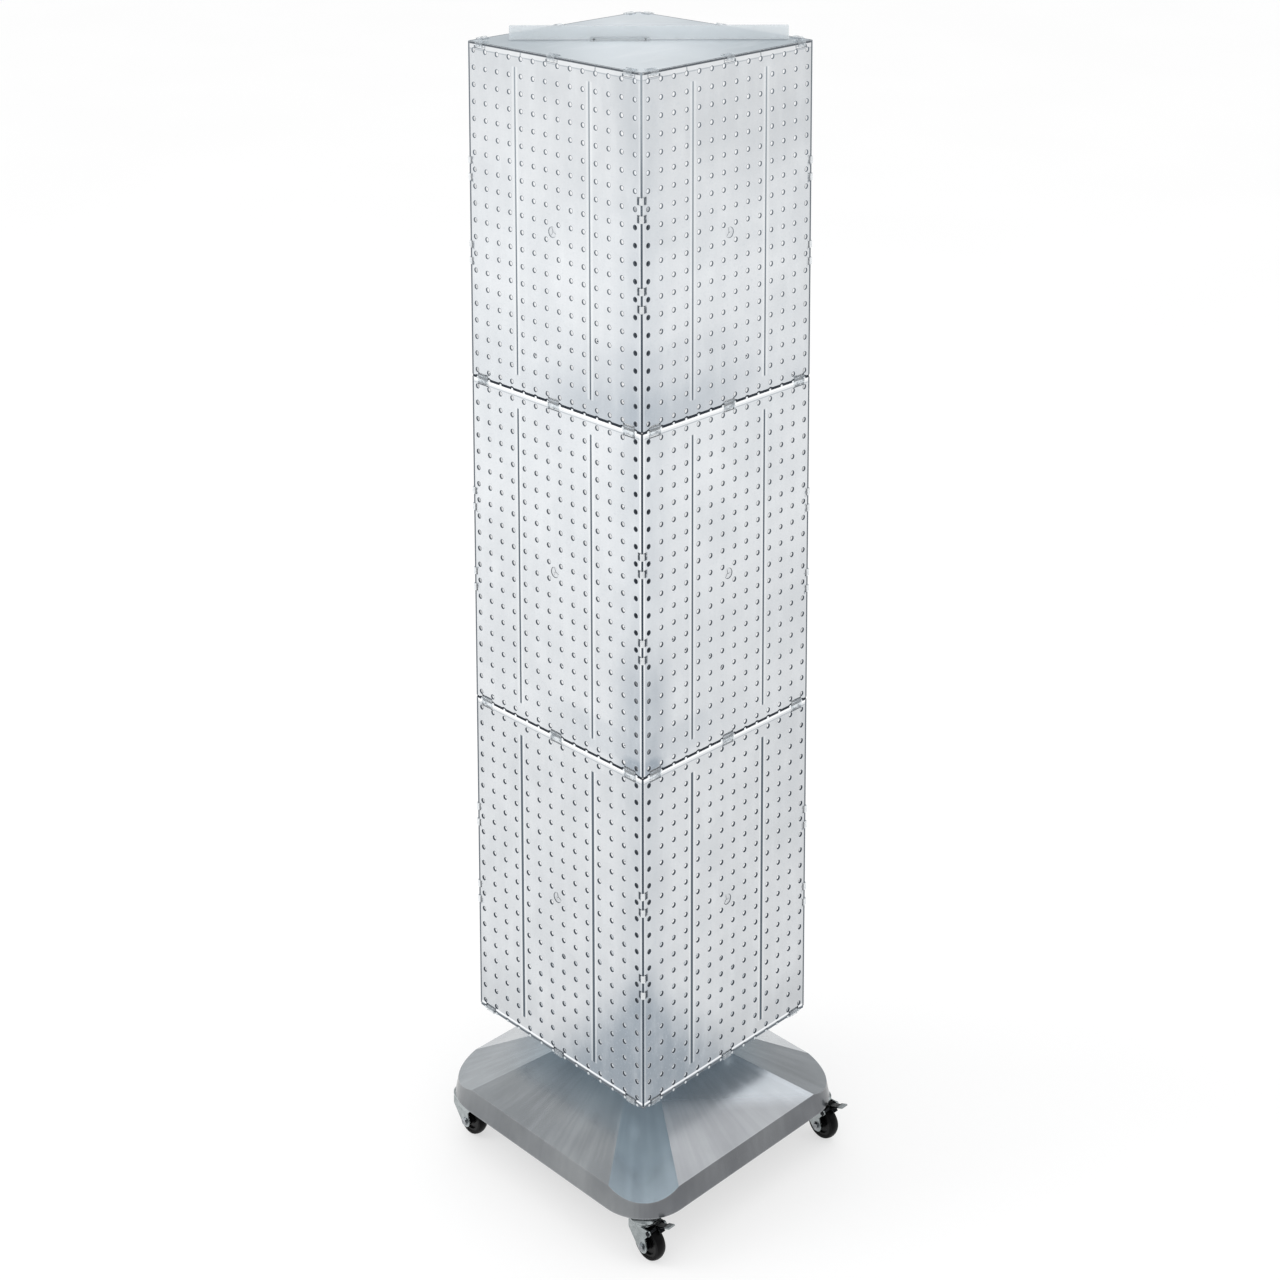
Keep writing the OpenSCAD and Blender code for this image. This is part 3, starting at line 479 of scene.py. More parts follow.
# ---------------------------------------------------------------- the pegboard panel mesh
def panel_mesh():
    """One tier panel facing -Y: holed sheet with chamfered holes, rounded mitred uprights, stepped
    top and bottom joints with a relief over each pin, and sunk rib lines."""
    verts, faces, mats = [], [], []
    index = {}

    def v(x, d, z):
        """vertex at depth d behind the outer face, shared where points coincide"""
        key = (round(x * 1e6), round(d * 1e6), round(z * 1e6))
        if key not in index:
            index[key] = len(verts)
            verts.append((x, -HALF + d, z))
        return index[key]

    def f(ids, mat):
        clean = []
        for i in ids:
            if not clean or clean[-1] != i:
                clean.append(i)
        if clean[0] == clean[-1]:
            clean.pop()
        if len(clean) > 2:
            faces.append(clean)
            mats.append(mat)

    S = 6
    N = 4 * S
    R0, R1 = 3.25 * MM, 4.15 * MM
    GROOVE = 1.3 * MM
    RIBX = 3 * PITCH
    Z_LO, Z_HI = 3.9 * MM, TIER_H - 0.40 * MM     # where the front face stops at the joints
    ARCH = [(-4.4, 0.0), (-2.6, 0.9), (0.0, 1.6), (2.6, 0.9), (4.4, 0.0)]     # relief over each locating pin
    X_EDGE = HALF - 2.04 * MM

    def sx(x):
        """front x of a cell boundary"""
        if abs(abs(x) - HALF) < 1e-6:
            return math.copysign(X_EDGE, x)
        return x

    def bx(x):
        if abs(abs(x) - HALF) < 1e-6:
            return math.copysign(HALF - WALL - 0.03 * MM, x)
        return x

    for i in range(COLS):
        for j in range(ROWS):
            cx = (i - (COLS - 1) / 2) * PITCH
            cz = TIER_H / 2 + (j - (ROWS - 1) / 2) * PITCH
            x0, x1, z0, z1 = cx - PITCH / 2, cx + PITCH / 2, cz - PITCH / 2, cz + PITCH / 2
            fx0, fx1 = sx(x0), sx(x1)
            if abs(abs(x0) - RIBX) < 1e-6:
                fx0 = x0 + GROOVE
            if abs(abs(x1) - RIBX) < 1e-6:
                fx1 = x1 - GROOVE
            fz0 = Z_LO if j == 0 else z0
            fz1 = Z_HI if j == ROWS - 1 else z1
            bz0 = 0.15 * MM if j == 0 else z0
            bz1 = TIER_H - 0.15 * MM if j == ROWS - 1 else z1

            def ring(r, d):
                return [v(cx + r * math.cos(math.radians(45 + k * 360 / N)), d, cz + r * math.sin(math.radians(45 + k * 360 / N))) for k in range(N)]

            def square(a0, a1, b0, b1, d):
                pts = []
                for side in range(4):
                    for k in range(S):
                        t = k / S
                        if side == 0:
                            p = (a1 + (a0 - a1) * t, b1)
                        elif side == 1:
                            p = (a0, b1 + (b0 - b1) * t)
                        elif side == 2:
                            p = (a0, b0)
                            if k:
                                if d == 0.0 and j == 0:
                                    p = (cx + ARCH[k - 1][0] * MM, b0 + ARCH[k - 1][1] * MM)
                                else:
                                    p = (a0 + (a1 - a0) * t, b0)
                        else:
                            p = (a1, b0 + (b1 - b0) * t)
                        pts.append(v(p[0], d, p[1]))
                return pts

            sq_f = square(fx0, fx1, fz0, fz1, 0.0)
            r_out = ring(R1, 0.0)
            r_in = ring(R0, 0.20 * MM)
            r_md = ring(R0, 1.65 * MM)
            r_bk = ring(R0, WALL)
            sq_b = square(bx(x0), bx(x1), bz0, bz1, WALL)
            for k in range(N):
                n = (k + 1) % N
                f([sq_f[k], sq_f[n], r_out[n], r_out[k]], 0)
                f([r_out[k], r_out[n], r_in[n], r_in[k]], 7)
                f([r_in[k], r_in[n], r_md[n], r_md[k]], 8)
                f([r_md[k], r_md[n], r_bk[n], r_bk[k]], 8)
                f([r_bk[k], r_bk[n], sq_b[n], sq_b[k]], 2)

    # vertical levels used along the front and back boundaries
    def levels(b_lo, b_hi):
        out = []
        for j in range(ROWS):
            z0, z1 = j * PITCH, (j + 1) * PITCH
            a = b_lo if j == 0 else z0
            b = b_hi if j == ROWS - 1 else z1
            for k in range(S):
                out.append(b + (a - b) * (1 - k / S) if False else a + (b - a) * k / S)
        out.append(b_hi)
        return out

    zf = levels(Z_LO, Z_HI)
    zb = levels(0.15 * MM, TIER_H - 0.15 * MM)

    # sunk rib lines
    for s in (-1, 1):
        xr = s * RIBX
        def dep(z):
            if z <= PITCH + 1e-6 or z >= TIER_H - PITCH - 1e-6:
                return 0.0
            return 0.6 * MM
        for a, b in zip(zf[:-1], zf[1:]):
            f([v(xr - GROOVE, 0, a), v(xr, dep(a), a), v(xr, dep(b), b), v(xr - GROOVE, 0, b)], 0)
            f([v(xr, dep(a), a), v(xr + GROOVE, 0, a), v(xr + GROOVE, 0, b), v(xr, dep(b), b)], 0)

    # rounded uprights and the mitre faces
    prof = []
    for k in range(6):
        th = math.radians(45.3 * k / 5)
        prof.append((HALF - 2.04 * MM + 2.0 * MM * math.sin(th), 2.0 * MM * (1 - math.cos(th))))
    prof.append((HALF - WALL - 0.03 * MM, WALL))
    for s in (-1, 1):
        cols = []
        for q, (px, pd) in enumerate(prof):
            t = pd / WALL
            if q == 0:
                zz = zf
            elif q == len(prof) - 1:
                zz = zb
            else:
                # rounded part keeps the front's heights, so that both joints stay stepped
                zz = zf
            cols.append([v(s * px, pd, z) for z in zz])
        for q in range(len(prof) - 1):
            A, B = cols[q], cols[q + 1]
            for k in range(len(A) - 1):
                f([A[k], B[k], B[k + 1], A[k + 1]] if s > 0 else [B[k], A[k], A[k + 1], B[k + 1]], 4)

    # joints along the top and the bottom: the face stops short above the joint and bridges each pin
    def row(bottom):
        out = []
        for i in range(COLS):
            cx = (i - (COLS - 1) / 2) * PITCH
            x0, x1 = cx - PITCH / 2, cx + PITCH / 2
            a, b = sx(x0), sx(x1)
            if abs(abs(x0) - RIBX) < 1e-6:
                a = x0 + GROOVE
            if abs(abs(x1) - RIBX) < 1e-6:
                b = x1 - GROOVE
            if bottom:
                out += [(a, Z_LO)] + [(cx + q[0] * MM, Z_LO + q[1] * MM) for q in ARCH] + [(b, Z_LO)]
            else:
                out += [(a + (b - a) * k / S, Z_HI) for k in range(S + 1)]
            if abs(abs(x1) - RIBX) < 1e-6:
                out.append((x1, Z_LO if bottom else Z_HI))
        uniq = []
        for p in out:
            if not uniq or abs(uniq[-1][0] - p[0]) > 1e-9:
                uniq.append(p)
        return uniq

    for top in (False, True):
        pts = row(not top)
        zo = (TIER_H - 0.15 * MM) if top else 0.15 * MM
        if top:
            # small bright arris, a painted highlight, then the dark cut edge
            lev = [(0.0, None, 3), (0.22 * MM, zo, 3)]
        else:
            # undercut above the joint, then down to the panel's lower edge
            lev = [(0.0, None, 5), (0.55 * MM, None, 5), (0.55 * MM, zo, 5)]
        for (d0, za, _), (d1, zc, mt) in zip(lev[:-1], lev[1:]):
            for (a, pa), (b, pb) in zip(pts[:-1], pts[1:]):
                q = [v(a, d0, pa if za is None else za), v(b, d0, pb if za is None else za), v(b, d1, pb if zc is None else zc), v(a, d1, pa if zc is None else zc)]
                f(q if top else q[::-1], mt)
        dl = lev[-1][0]
        xb = []
        for i in range(COLS):
            for k in range(S):
                x0, x1 = bx((i - COLS / 2) * PITCH), bx((i + 1 - COLS / 2) * PITCH)
                xb.append(x0 + (x1 - x0) * k / S)
        xb.append(bx(HALF))
        face = [v(p[0], dl, zo) for p in pts] + [v(a, WALL, zo) for a in xb][::-1]
        f(face if top else face[::-1], 5)
        # small end faces that close the edge at each upright
        ze = Z_HI if top else Z_LO
        for s in (-1, 1):
            xe = s * X_EDGE
            arc = [v(s * px, pd, ze) for px, pd in prof[1:-1]]
            mid = [v(xe, 0.22 * MM, zo)] if top else [v(xe, 0.55 * MM, ze), v(xe, 0.55 * MM, zo)]
            loop = [v(xe, 0, ze)] + mid + [v(s * prof[-1][0], WALL, zo)] + arc[::-1]
            f(loop if (s > 0) == top else loop[::-1], 4)

    me = bpy.data.meshes.new("panel_sheet")
    me.from_pydata(verts, [], faces)
    me.update()
    me.polygons.foreach_set("material_index", mats)
    me.validate()
    return me


def set_smooth(me, angle=35):
    me.polygons.foreach_set("use_smooth", [True] * len(me.polygons))
    me.set_sharp_from_angle(angle=math.radians(angle))
    me.update()


def new_object(name, me):
    o = bpy.data.objects.new(name, me)
    scene.collection.objects.link(o)
    return o


def apply_modifiers(o):
    """Bakes the modifiers into the object's own mesh."""
    dg = bpy.context.evaluated_depsgraph_get()
    ev = o.evaluated_get(dg)
    me = bpy.data.meshes.new_from_object(ev, preserve_all_data_layers=True, depsgraph=dg)
    o.modifiers.clear()
    o.data = me
    return me


def add_box(bm, x0, x1, y0, y1, z0, z1, mat=0):
    ids = [bm.verts.new(p) for p in [(x0, y0, z0), (x1, y0, z0), (x1, y1, z0), (x0, y1, z0), (x0, y0, z1), (x1, y0, z1), (x1, y1, z1), (x0, y1, z1)]]
    for q in [(0, 3, 2, 1), (4, 5, 6, 7), (0, 1, 5, 4), (1, 2, 6, 5), (2, 3, 7, 6), (3, 0, 4, 7)]:
        fc = bm.faces.new([ids[i] for i in q])
        fc.material_index = mat


def add_disc(bm, cx, cz, y0, y1, r, seg=20, bevel=0.0, mat=0, mat_side=None, squash=1.0):
    """Short round boss along y, with a rounded front edge at y0"""
    rings = []
    lv = [(y0, r - bevel), (y0 + bevel * 0.3, r - bevel * 0.3), (y0 + bevel, r), (y1, r)] if bevel else [(y0, r), (y1, r)]
    for y, rr in lv:
        rings.append([bm.verts.new((cx + rr * math.cos(2 * math.pi * k / seg), y, cz + squash * rr * math.sin(2 * math.pi * k / seg))) for k in range(seg)])
    fc = bm.faces.new(rings[0])
    fc.material_index = mat
    fc = bm.faces.new(rings[-1][::-1])
    fc.material_index = mat
    for a, b in zip(rings[:-1], rings[1:]):
        for k in range(seg):
            n = (k + 1) % seg
            fc = bm.faces.new([a[n], a[k], b[k], b[n]])
            fc.material_index = mat if mat_side is None else mat_side


def build_panel():
    sheet = new_object("sheet_tmp", panel_mesh())
    for m in (M_FACE, M_EDGE, M_INNER, M_LIP, M_CORNER, M_JOINT, M_FLANGE, M_RIM, M_WALL):
        sheet.data.materials.append(m)
    # cutters: clip slots and the round gate recess
    bm = bmesh.new()
    L, W = 5.3 * MM, 2.0 * MM
    y0, y1 = -HALF - 0.004, -HALF + WALL + 0.004
    for s in (-1, 1):
        for n in (7, 8, 12, 13):
            zc = TIER_H - n * PITCH
            xc = s * (HALF - 5.4 * MM)
            add_box(bm, xc - W, xc + W, y0, y1, zc - L, zc + L)
    for xc in (-6 * PITCH, 0, 6 * PITCH):
        for zc in (7 * MM, TIER_H - 7 * MM):
            add_box(bm, xc - 11.3 * MM, xc + 11.3 * MM, y0, y1, zc - W, zc + W)
    ring = [(8.2 * MM, -HALF - 0.002), (8.2 * MM, -HALF + 0.2 * MM), (7.6 * MM, -HALF + 0.9 * MM)]
    seg = 32
    loops = [[bm.verts.new((r * math.cos(2 * math.pi * k / seg), y, TIER_H / 2 + r * math.sin(2 * math.pi * k / seg))) for k in range(seg)] for r, y in ring]
    bm.faces.new(loops[0])
    bm.faces.new(loops[-1][::-1])
    for a, b in zip(loops[:-1], loops[1:]):
        for k in range(seg):
            n = (k + 1) % seg
            bm.faces.new([a[n], a[k], b[k], b[n]])
    bmesh.ops.recalc_face_normals(bm, faces=bm.faces)
    cme = bpy.data.meshes.new("cut")
    bm.to_mesh(cme)
    bm.free()
    for _ in range(1):
        cme.materials.append(M_EDGE)
    cutter = new_object("cut_tmp", cme)
    mod = sheet.modifiers.new("slots", "BOOLEAN")
    mod.operation = "DIFFERENCE"
    mod.solver = "EXACT"
    mod.object = cutter
    mod.material_mode = "TRANSFER"
    bpy.context.view_layer.update()
    me = apply_modifiers(sheet)
    bpy.data.objects.remove(cutter)

    # ribs, flanges, keyed bumps and the star of the gate mark
    bm = bmesh.new()
    bm.from_mesh(me)
    names = [m.name for m in me.materials]
    i_face, i_edge, i_in, i_lip, i_fl = (names.index(q.name) for q in (M_FACE, M_EDGE, M_INNER, M_LIP, M_FLANGE))
    floor_d = -HALF + 0.9 * MM
    for fc in bm.faces:
        if abs(fc.calc_center_median().y - floor_d) < 0.05 * MM and fc.normal.y < -0.9 and math.hypot(fc.calc_center_median().x, fc.calc_center_median().z - TIER_H / 2) < 8 * MM:
            fc.material_index = i_face
    yi = -HALF + WALL - 0.3 * MM
    for s in (-1, 1):
        add_box(bm, s * 3 * PITCH - 1 * MM, s * 3 * PITCH + 1 * MM, yi, yi + 5.3 * MM, PITCH, TIER_H - PITCH, i_in)
        add_box(bm, s * (HALF - 18.6 * MM) - 0.9 * MM, s * (HALF - 18.6 * MM) + 0.9 * MM, yi, yi + 8.3 * MM, PITCH * 0.5, TIER_H - PITCH * 0.5, i_fl)
        # painted shade: dark boxes behind the corner clip slots, so that the slots read dark
        for n in (7, 8, 12, 13):
            xa, xb = sorted((s * (HALF - 8.4 * MM), s * (HALF - 4.6 * MM)))
            add_box(bm, xa, xb, -HALF + 3.45 * MM, -HALF + 4.4 * MM, TIER_H - n * PITCH - 6.2 * MM, TIER_H - n * PITCH + 6.2 * MM, i_edge)
    for z in (3.2 * MM, TIER_H - 5.2 * MM):
        add_box(bm, -HALF + 9 * MM, HALF - 9 * MM, yi, yi + 1.9 * MM, z, z + 2 * MM, i_edge)
    for i in range(COLS):
        add_disc(bm, (i - (COLS - 1) / 2) * PITCH, 0.70 * MM, -HALF + 0.05 * MM, -HALF + 1.35 * MM, 2.1 * MM, 18, 0.35 * MM, i_lip)
    # three-armed star inside the recess
    for k in range(3):
        a = math.radians(90 + 120 * k + 14)
        dx, dz = math.cos(a), math.sin(a)
        px, pz = -dz, dx
        y_lo, y_hi = -HALF + 0.95 * MM, -HALF + 0.25 * MM
        pts = []
        for r, w, y in ((0.6, 1.1, y_hi), (4.4, 0.6, y_hi), (7.4, 0.25, y_hi + 0.3 * MM)):
            pts.append((r * MM * dx + w * MM * px, y, TIER_H / 2 + r * MM * dz + w * MM * pz))
            pts.append((r * MM * dx - w * MM * px, y, TIER_H / 2 + r * MM * dz - w * MM * pz))
        lowp = [(p[0], y_lo, p[2]) for p in pts]
        tv = [bm.verts.new(p) for p in pts]
        lv = [bm.verts.new(p) for p in lowp]
        for q in [(0, 1, 3, 2), (2, 3, 5, 4)]:
            bm.faces.new([tv[i] for i in q]).material_index = i_face
            bm.faces.new([lv[i] for i in q[::-1]]).material_index = i_edge
        for q in [(0, 2), (2, 4), (4, 5), (5, 3), (3, 1), (1, 0)]:
            bm.faces.new([tv[q[0]], tv[q[1]], lv[q[1]], lv[q[0]]]).material_index = i_edge
    bmesh.ops.recalc_face_normals(bm, faces=[fc for fc in bm.faces if len(fc.verts) < 40])
    bmesh.ops.triangulate(bm, faces=[fc for fc in bm.faces if len(fc.verts) > 4])
    out = bpy.data.meshes.new("pegboard_panel")
    for m in me.materials:
        out.materials.append(m)
    bm.to_mesh(out)
    bm.free()
    set_smooth(out, 32)
    bpy.data.objects.remove(sheet)
    return out


PANEL = build_panel()
print("panel mesh", len(PANEL.polygons), "faces", [m.name for m in PANEL.materials])

TIERS = ["lower", "middle", "upper"]
FACES = ["front", "right", "rear", "left"]
for t, tier in enumerate(TIERS):
    for k, face in enumerate(FACES):
        o = new_object(f"{tier}_{face}_pegboard", PANEL)
        o.matrix_world = Matrix.Translation((0, 0, TOWER_Z + t * TIER_H)) @ Matrix.Rotation(math.radians(90 * k), 4, "Z")
        o.color = (1.0 if k % 2 == 0 else 0.0, t / 2, 0.0, 1.0)
        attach(o, "tower")
        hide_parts(f"{tier}_{face}_panel")
        if t == 0:
            for s in o.material_slots:
                if s.material == M_FACE:
                    s.link = "OBJECT"
                    s.material = M_FACE_LOW


# ---------------------------------------------------------------- materials: lid, clips, sign
def lid_material():
    """Clear lid seen against the white room: pale in front, with painted shade making it greyer towards the side
    corners.
    """
    m = Nodes("clear_lid")
    co = m.coords()
    x, y, z = m.xyz(co)
    n1 = m.noise(co, 7.0, 3.0, 0.5)
    n2 = m.noise(co, 420.0, 3.0, 0.6)
    n3 = m.noise(m.scale_vec(co, (1.0, 0.25, 1.0)), 30.0, 3.0, 0.6)
    lat = m.math("ABSOLUTE", m.math("ADD", x, y))
    c = m.mix(m.ramp(lat, 0.04, 0.26), LID_MID, LID_SIDE)
    c = m.mix(1.0, c, m.mix(m.ramp(n1, 0.35, 0.68), (0.96,) * 3, (1.03,) * 3), "MULTIPLY")
    c = m.mix(m.math("MULTIPLY", m.ramp(n3, 0.5, 0.75), 0.18), c, (0.90, 0.92, 0.94))
    c = m.mix(m.math("MULTIPLY", m.ramp(n2, 0.5, 0.7), 0.08), c, (0.86, 0.89, 0.91))
    nrm = m.bump(n2, 0.03, 0.0003)
    return m.finish(m.principled(color=c, rough=m.ramp(n2, 0.3, 0.7, 0.30, 0.40), spec=0.45, normal=nrm))


# lid colour in front and its painted-shade colour towards the side corners
LID_MID, LID_SIDE = srgb(212, 219, 224), srgb(179, 188, 194)
M_LID = lid_material()
M_CLIP = clear_glass("clear_clip_plastic", (0.74, 0.79, 0.83), 0.90, 0.22, 0.75, 0.60)
M_CCLIP = clear_glass("clear_corner_clip_plastic", (0.90, 0.93, 0.95), 0.34, 0.22, 0.85, 0.14, slots=True)
M_SIGN = clear_glass("clear_sign_plastic", (0.88, 0.91, 0.93), 0.68, 0.12, 0.92)
M_FOOT = clear_glass("clear_foot_plastic", (0.88, 0.91, 0.93), 0.80, 0.14, 0.90)


def metal(name, dark, light, rough=(0.22, 0.40), scale=180.0, streak=(1, 1, 1), metal_w=1.0, bump=0.1, wear=0.5):
    """Plated or bare metal: tone mottling, faint streaks, brighter worn edges."""
    m = Nodes(name)
    co = m.coords()
    v = m.scale_vec(co, streak)
    n = m.noise(v, scale, 3.0, 0.6)
    big = m.noise(co, scale * 0.12, 2.0)
    edge = m.edges(0.0007)
    c = m.mix(m.ramp(m.math("ADD", m.math("MULTIPLY", n, 0.6), m.math("MULTIPLY", big, 0.4)), 0.36, 0.66), dark, light)
    c = m.mix(m.math("MULTIPLY", edge, wear), c, tuple(min(1.0, x * 1.35) for x in light))
    r = m.ramp(n, 0.3, 0.7, rough[0], rough[1])
    nrm = m.bump(n, bump, 0.0003)
    return m.finish(m.principled(color=c, rough=r, metal=metal_w, normal=nrm))


def plastic(name, dark, light, rough=(0.35, 0.55), scale=400.0, bump=0.2, spec=0.5, coat=0.0):
    m = Nodes(name)
    co = m.coords()
    n = m.noise(co, scale, 3.0, 0.6)
    big = m.noise(co, scale * 0.08, 2.0)
    edge = m.edges(0.0008)
    c = m.mix(m.ramp(big, 0.35, 0.65), dark, light)
    # painted highlight along the edges
    c = m.mix(m.math("MULTIPLY", edge, 0.45), c, tuple(min(1.0, x * 1.8 + 0.01) for x in light))
    nrm = m.bump(n, bump, 0.0004)
    return m.finish(m.principled(color=c, rough=m.ramp(n, 0.3, 0.7, rough[0], rough[1]), spec=spec, normal=nrm, coat=coat, coat_rough=0.1))


M_ZINC = metal("zinc_plate", srgb(150, 156, 157), srgb(182, 188, 189), (0.24, 0.38), 150.0)
M_STEEL = metal("bright_steel", srgb(118, 122, 125), srgb(186, 189, 192), (0.16, 0.30), 220.0)
M_OXIDE = metal("black_oxide_steel", srgb(26, 27, 29), srgb(48, 50, 53), (0.30, 0.45), 220.0)
M_BLACK = plastic("black_wheel_plastic", srgb(3, 3, 4), srgb(10, 10, 11), (0.22, 0.36), 500.0, 0.08, 0.20)
M_TREAD = plastic("black_tread", srgb(3, 3, 4), srgb(10, 10, 11), (0.34, 0.50), 700.0, 0.20, 0.10)
M_NYLON = plastic("nylon_cage", srgb(205, 198, 176), srgb(226, 220, 200), (0.35, 0.5), 300.0, 0.15)


def brake_steel(r_tip):
    """Brake lever: black oxide over the wheel, with its pressed tip left bright. The object colour
    carries the caster's swivel axis, so the change follows the lever outwards."""
    m = Nodes("brake_lever_steel")
    co = m.coords()
    x, y, z = m.xyz(co)
    info = m.new("ShaderNodeObjectInfo")
    sep = m.new("ShaderNodeSeparateColor")
    m.put(sep.inputs[0], info.outputs["Color"])
    dx = m.math("SUBTRACT", x, m.math("SUBTRACT", sep.outputs[0], 0.5))
    dy = m.math("SUBTRACT", y, m.math("SUBTRACT", sep.outputs[1], 0.5))
    r = m.math("SQRT", m.math("ADD", m.math("MULTIPLY", dx, dx), m.math("MULTIPLY", dy, dy)))
    n = m.noise(co, 240.0, 3.0, 0.6)
    tip = m.ramp(m.math("ADD", r, m.math("MULTIPLY", n, 0.002)), r_tip - 0.0115, r_tip - 0.0070)
    c = m.mix(tip, m.mix(n, srgb(16, 17, 19), srgb(34, 35, 38)), m.mix(n, srgb(120, 126, 128), srgb(172, 178, 180)))
    # painted highlight along the edges
    c = m.mix(m.math("MULTIPLY", m.edges(0.0007), 0.45), c, srgb(188, 193, 195))
    nrm = m.bump(n, 0.1, 0.0003)
    return m.finish(m.principled(color=c, rough=m.ramp(n, 0.3, 0.7, 0.26, 0.42), metal=1.0, normal=nrm))


def silver_base():
    """Glossy silver moulded base: satin mirror with long faint flow streaks running down from the middle,
    painted highlights along the folds and painted light and shade on its faces."""
    m = Nodes("silver_base_gloss")
    co = m.coords()
    x, y, z = m.xyz(co)
    fine = m.noise(co, 420.0, 2.0, 0.5)
    cloud = m.noise(co, 9.0, 3.0, 0.55)
    ang = m.math("ARCTAN2", y, x)
    polar = m.combine(m.math("MULTIPLY", ang, 1.0), m.math("MULTIPLY", z, 0.6), 0.3)
    drip = m.noise(polar, 24.0, 2.0, 0.5)
    geo = m.new("ShaderNodeNewGeometry")
    nx, ny, nz = m.xyz(geo.outputs["Normal"])
    up = m.ramp(nz, 0.30, 0.75)
    edge = m.edges(0.0030)
    hand = m.noise(m.scale_vec(co, (1.0, 1.0, 0.5)), 16.0, 3.0, 0.5)
    # painted light and shade: faces turned up get the lit colour, the rim the shaded one, darker still where it faces
    # right
    c_top = m.mix(m.ramp(cloud, 0.35, 0.68), BASE_TOP[0], BASE_TOP[1])
    c_rim = m.mix(m.ramp(cloud, 0.35, 0.68), BASE_RIM[0], BASE_RIM[1])
    c_rim = m.mix(m.ramp(nx, 0.45, 0.80), c_rim, m.mix(1.0, c_rim, (0.70, 0.695, 0.71), "MULTIPLY"))
    c = m.mix(up, c_rim, c_top)
    c = m.mix(1.0, c, m.mix(m.ramp(drip, 0.36, 0.68), (0.965,) * 3, (1.045,) * 3), "MULTIPLY")
    c = m.mix(1.0, c, m.mix(m.ramp(hand, 0.38, 0.66), (0.955,) * 3, (1.035,) * 3), "MULTIPLY")
    # bluer where it mirrors the tower: on the corner facets and high up round the foot
    nxy = m.math("MULTIPLY", m.ramp(nx, 0.15, 0.26), m.ramp(ny, -0.15, -0.26))
    blue = m.math("MAXIMUM", nxy, m.ramp(z, 0.115, 0.160))
    c = m.mix(m.math("MULTIPLY", blue, up), c, m.mix(1.0, c, (0.92, 1.03, 1.09), "MULTIPLY"))
    # painted shade: the right slope is darkened, its front part more and with less mirror, so that its highlight shows
    # only further back
    right = m.math("MULTIPLY", m.math("MULTIPLY", m.ramp(nx, 0.20, 0.30), m.ramp(m.math("ABSOLUTE", ny), 0.15, 0.08)), up)
    front_slope_shade = m.math("MULTIPLY", right, m.ramp(m.math("SUBTRACT", m.math("MULTIPLY", x, 2.2), y), 0.325, 0.395))
    c = m.mix(right, c, m.mix(1.0, c, (0.87, 0.87, 0.88), "MULTIPLY"))
    c = m.mix(front_slope_shade, c, m.mix(1.0, c, (0.86, 0.845, 0.845), "MULTIPLY"))
    c = m.mix(m.math("MULTIPLY", m.ramp(fine, 0.56, 0.74), 0.06), c, srgb(120, 124, 128))
    # painted highlight along the folds
    c = m.mix(m.math("MULTIPLY", edge, 0.30), c, srgb(206, 210, 213))
    nrm = m.bump(m.math("ADD", m.math("MULTIPLY", drip, 0.06), m.math("MULTIPLY", cloud, 0.30)), 0.10, 0.0015)
    r = m.math("ADD", m.ramp(drip, 0.3, 0.7, 0.19, 0.24), m.math("MULTIPLY", m.ramp(fine, 0.4, 0.7), 0.03))
    return m.finish(m.principled(color=c, rough=r, metal=m.math("MULTIPLY_ADD", front_slope_shade, -0.68, 0.85), normal=nrm, coat=0.12, coat_rough=0.10))


# lit colour of the slopes and shaded colour of the rim: painted light and shade on one silver
BASE_TOP = (srgb(182, 186, 190), srgb(192, 196, 199))
BASE_RIM = (srgb(124, 127, 130), srgb(138, 141, 143))
M_BASE = silver_base()


def give(node, mat, bevel=0.0, seg=2, angle=30, smooth=30):
    """Material, softened edges and shading for a CAD node kept as it is."""
    o = NODES[node]
    o.data.materials.clear()
    o.data.materials.append(mat)
    if bevel:
        b = o.modifiers.new("edge", "BEVEL")
        b.width = bevel * MM
        b.segments = seg
        b.limit_method = "ANGLE"
        b.angle_limit = math.radians(angle)
        b.use_clamp_overlap = True
        b.harden_normals = False
    return o


give("tower_lid", M_LID, 0.4, 2)
give("tower_floor", M_LID, 0.4, 2)
give("corner_clips", M_CCLIP, 0.3, 2)
for n in ("tier_clips", "lid_clips", "floor_clips"):
    give(n, M_CLIP, 0.3, 2)
give("sign_channel", M_SIGN, 0.3, 2)
give("sign_foot", M_FOOT, 0.25, 2)
give("sign_screws", M_STEEL, 0.15, 1)
for n in ("turntable_top", "turntable_base"):
    give(n, M_ZINC, 0.5, 2)
for n in ("turntable_screws", "turntable_base_screws", "pivot_bolt", "pivot_washer", "pivot_nut"):
    give(n, M_STEEL, 0.2, 1)
give("ball_cage", M_NYLON, 0.2, 1)
give("turntable_balls", M_STEEL)
give("base_shell", M_BASE, 1.6, 3, angle=12)
give("stem_sockets", M_ZINC, 0.2, 1)


def axis_of(c):
    """plan position of a caster's swivel axis"""
    a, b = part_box(f"caster_{c}_stem")
    return (a.x + b.x) / 2, (a.y + b.y) / 2


M_BRAKE = brake_steel(max(math.hypot(v.co.x - axis_of("fl")[0], v.co.y - axis_of("fl")[1]) for v in NODES["caster_fl_brake"].data.vertices))
for c in ("fl", "fr", "rl", "rr"):
    give(f"caster_{c}_stem", M_ZINC, 0.4, 2)
    give(f"caster_{c}_fork", M_ZINC, 0.35, 2)
    give(f"caster_{c}_axle", M_STEEL, 0.2, 1)
    give(f"caster_{c}_wheel", M_BLACK, 0.4, 2)
    give(f"caster_{c}_tyre", M_TREAD, 0.0)
    brake = give(f"caster_{c}_brake", M_BRAKE, 0.3, 2)
    brake.color = (*[q + 0.5 for q in axis_of(c)], 0.0, 1.0)
    give(f"caster_{c}_brake_pin", M_OXIDE, 0.15, 1)


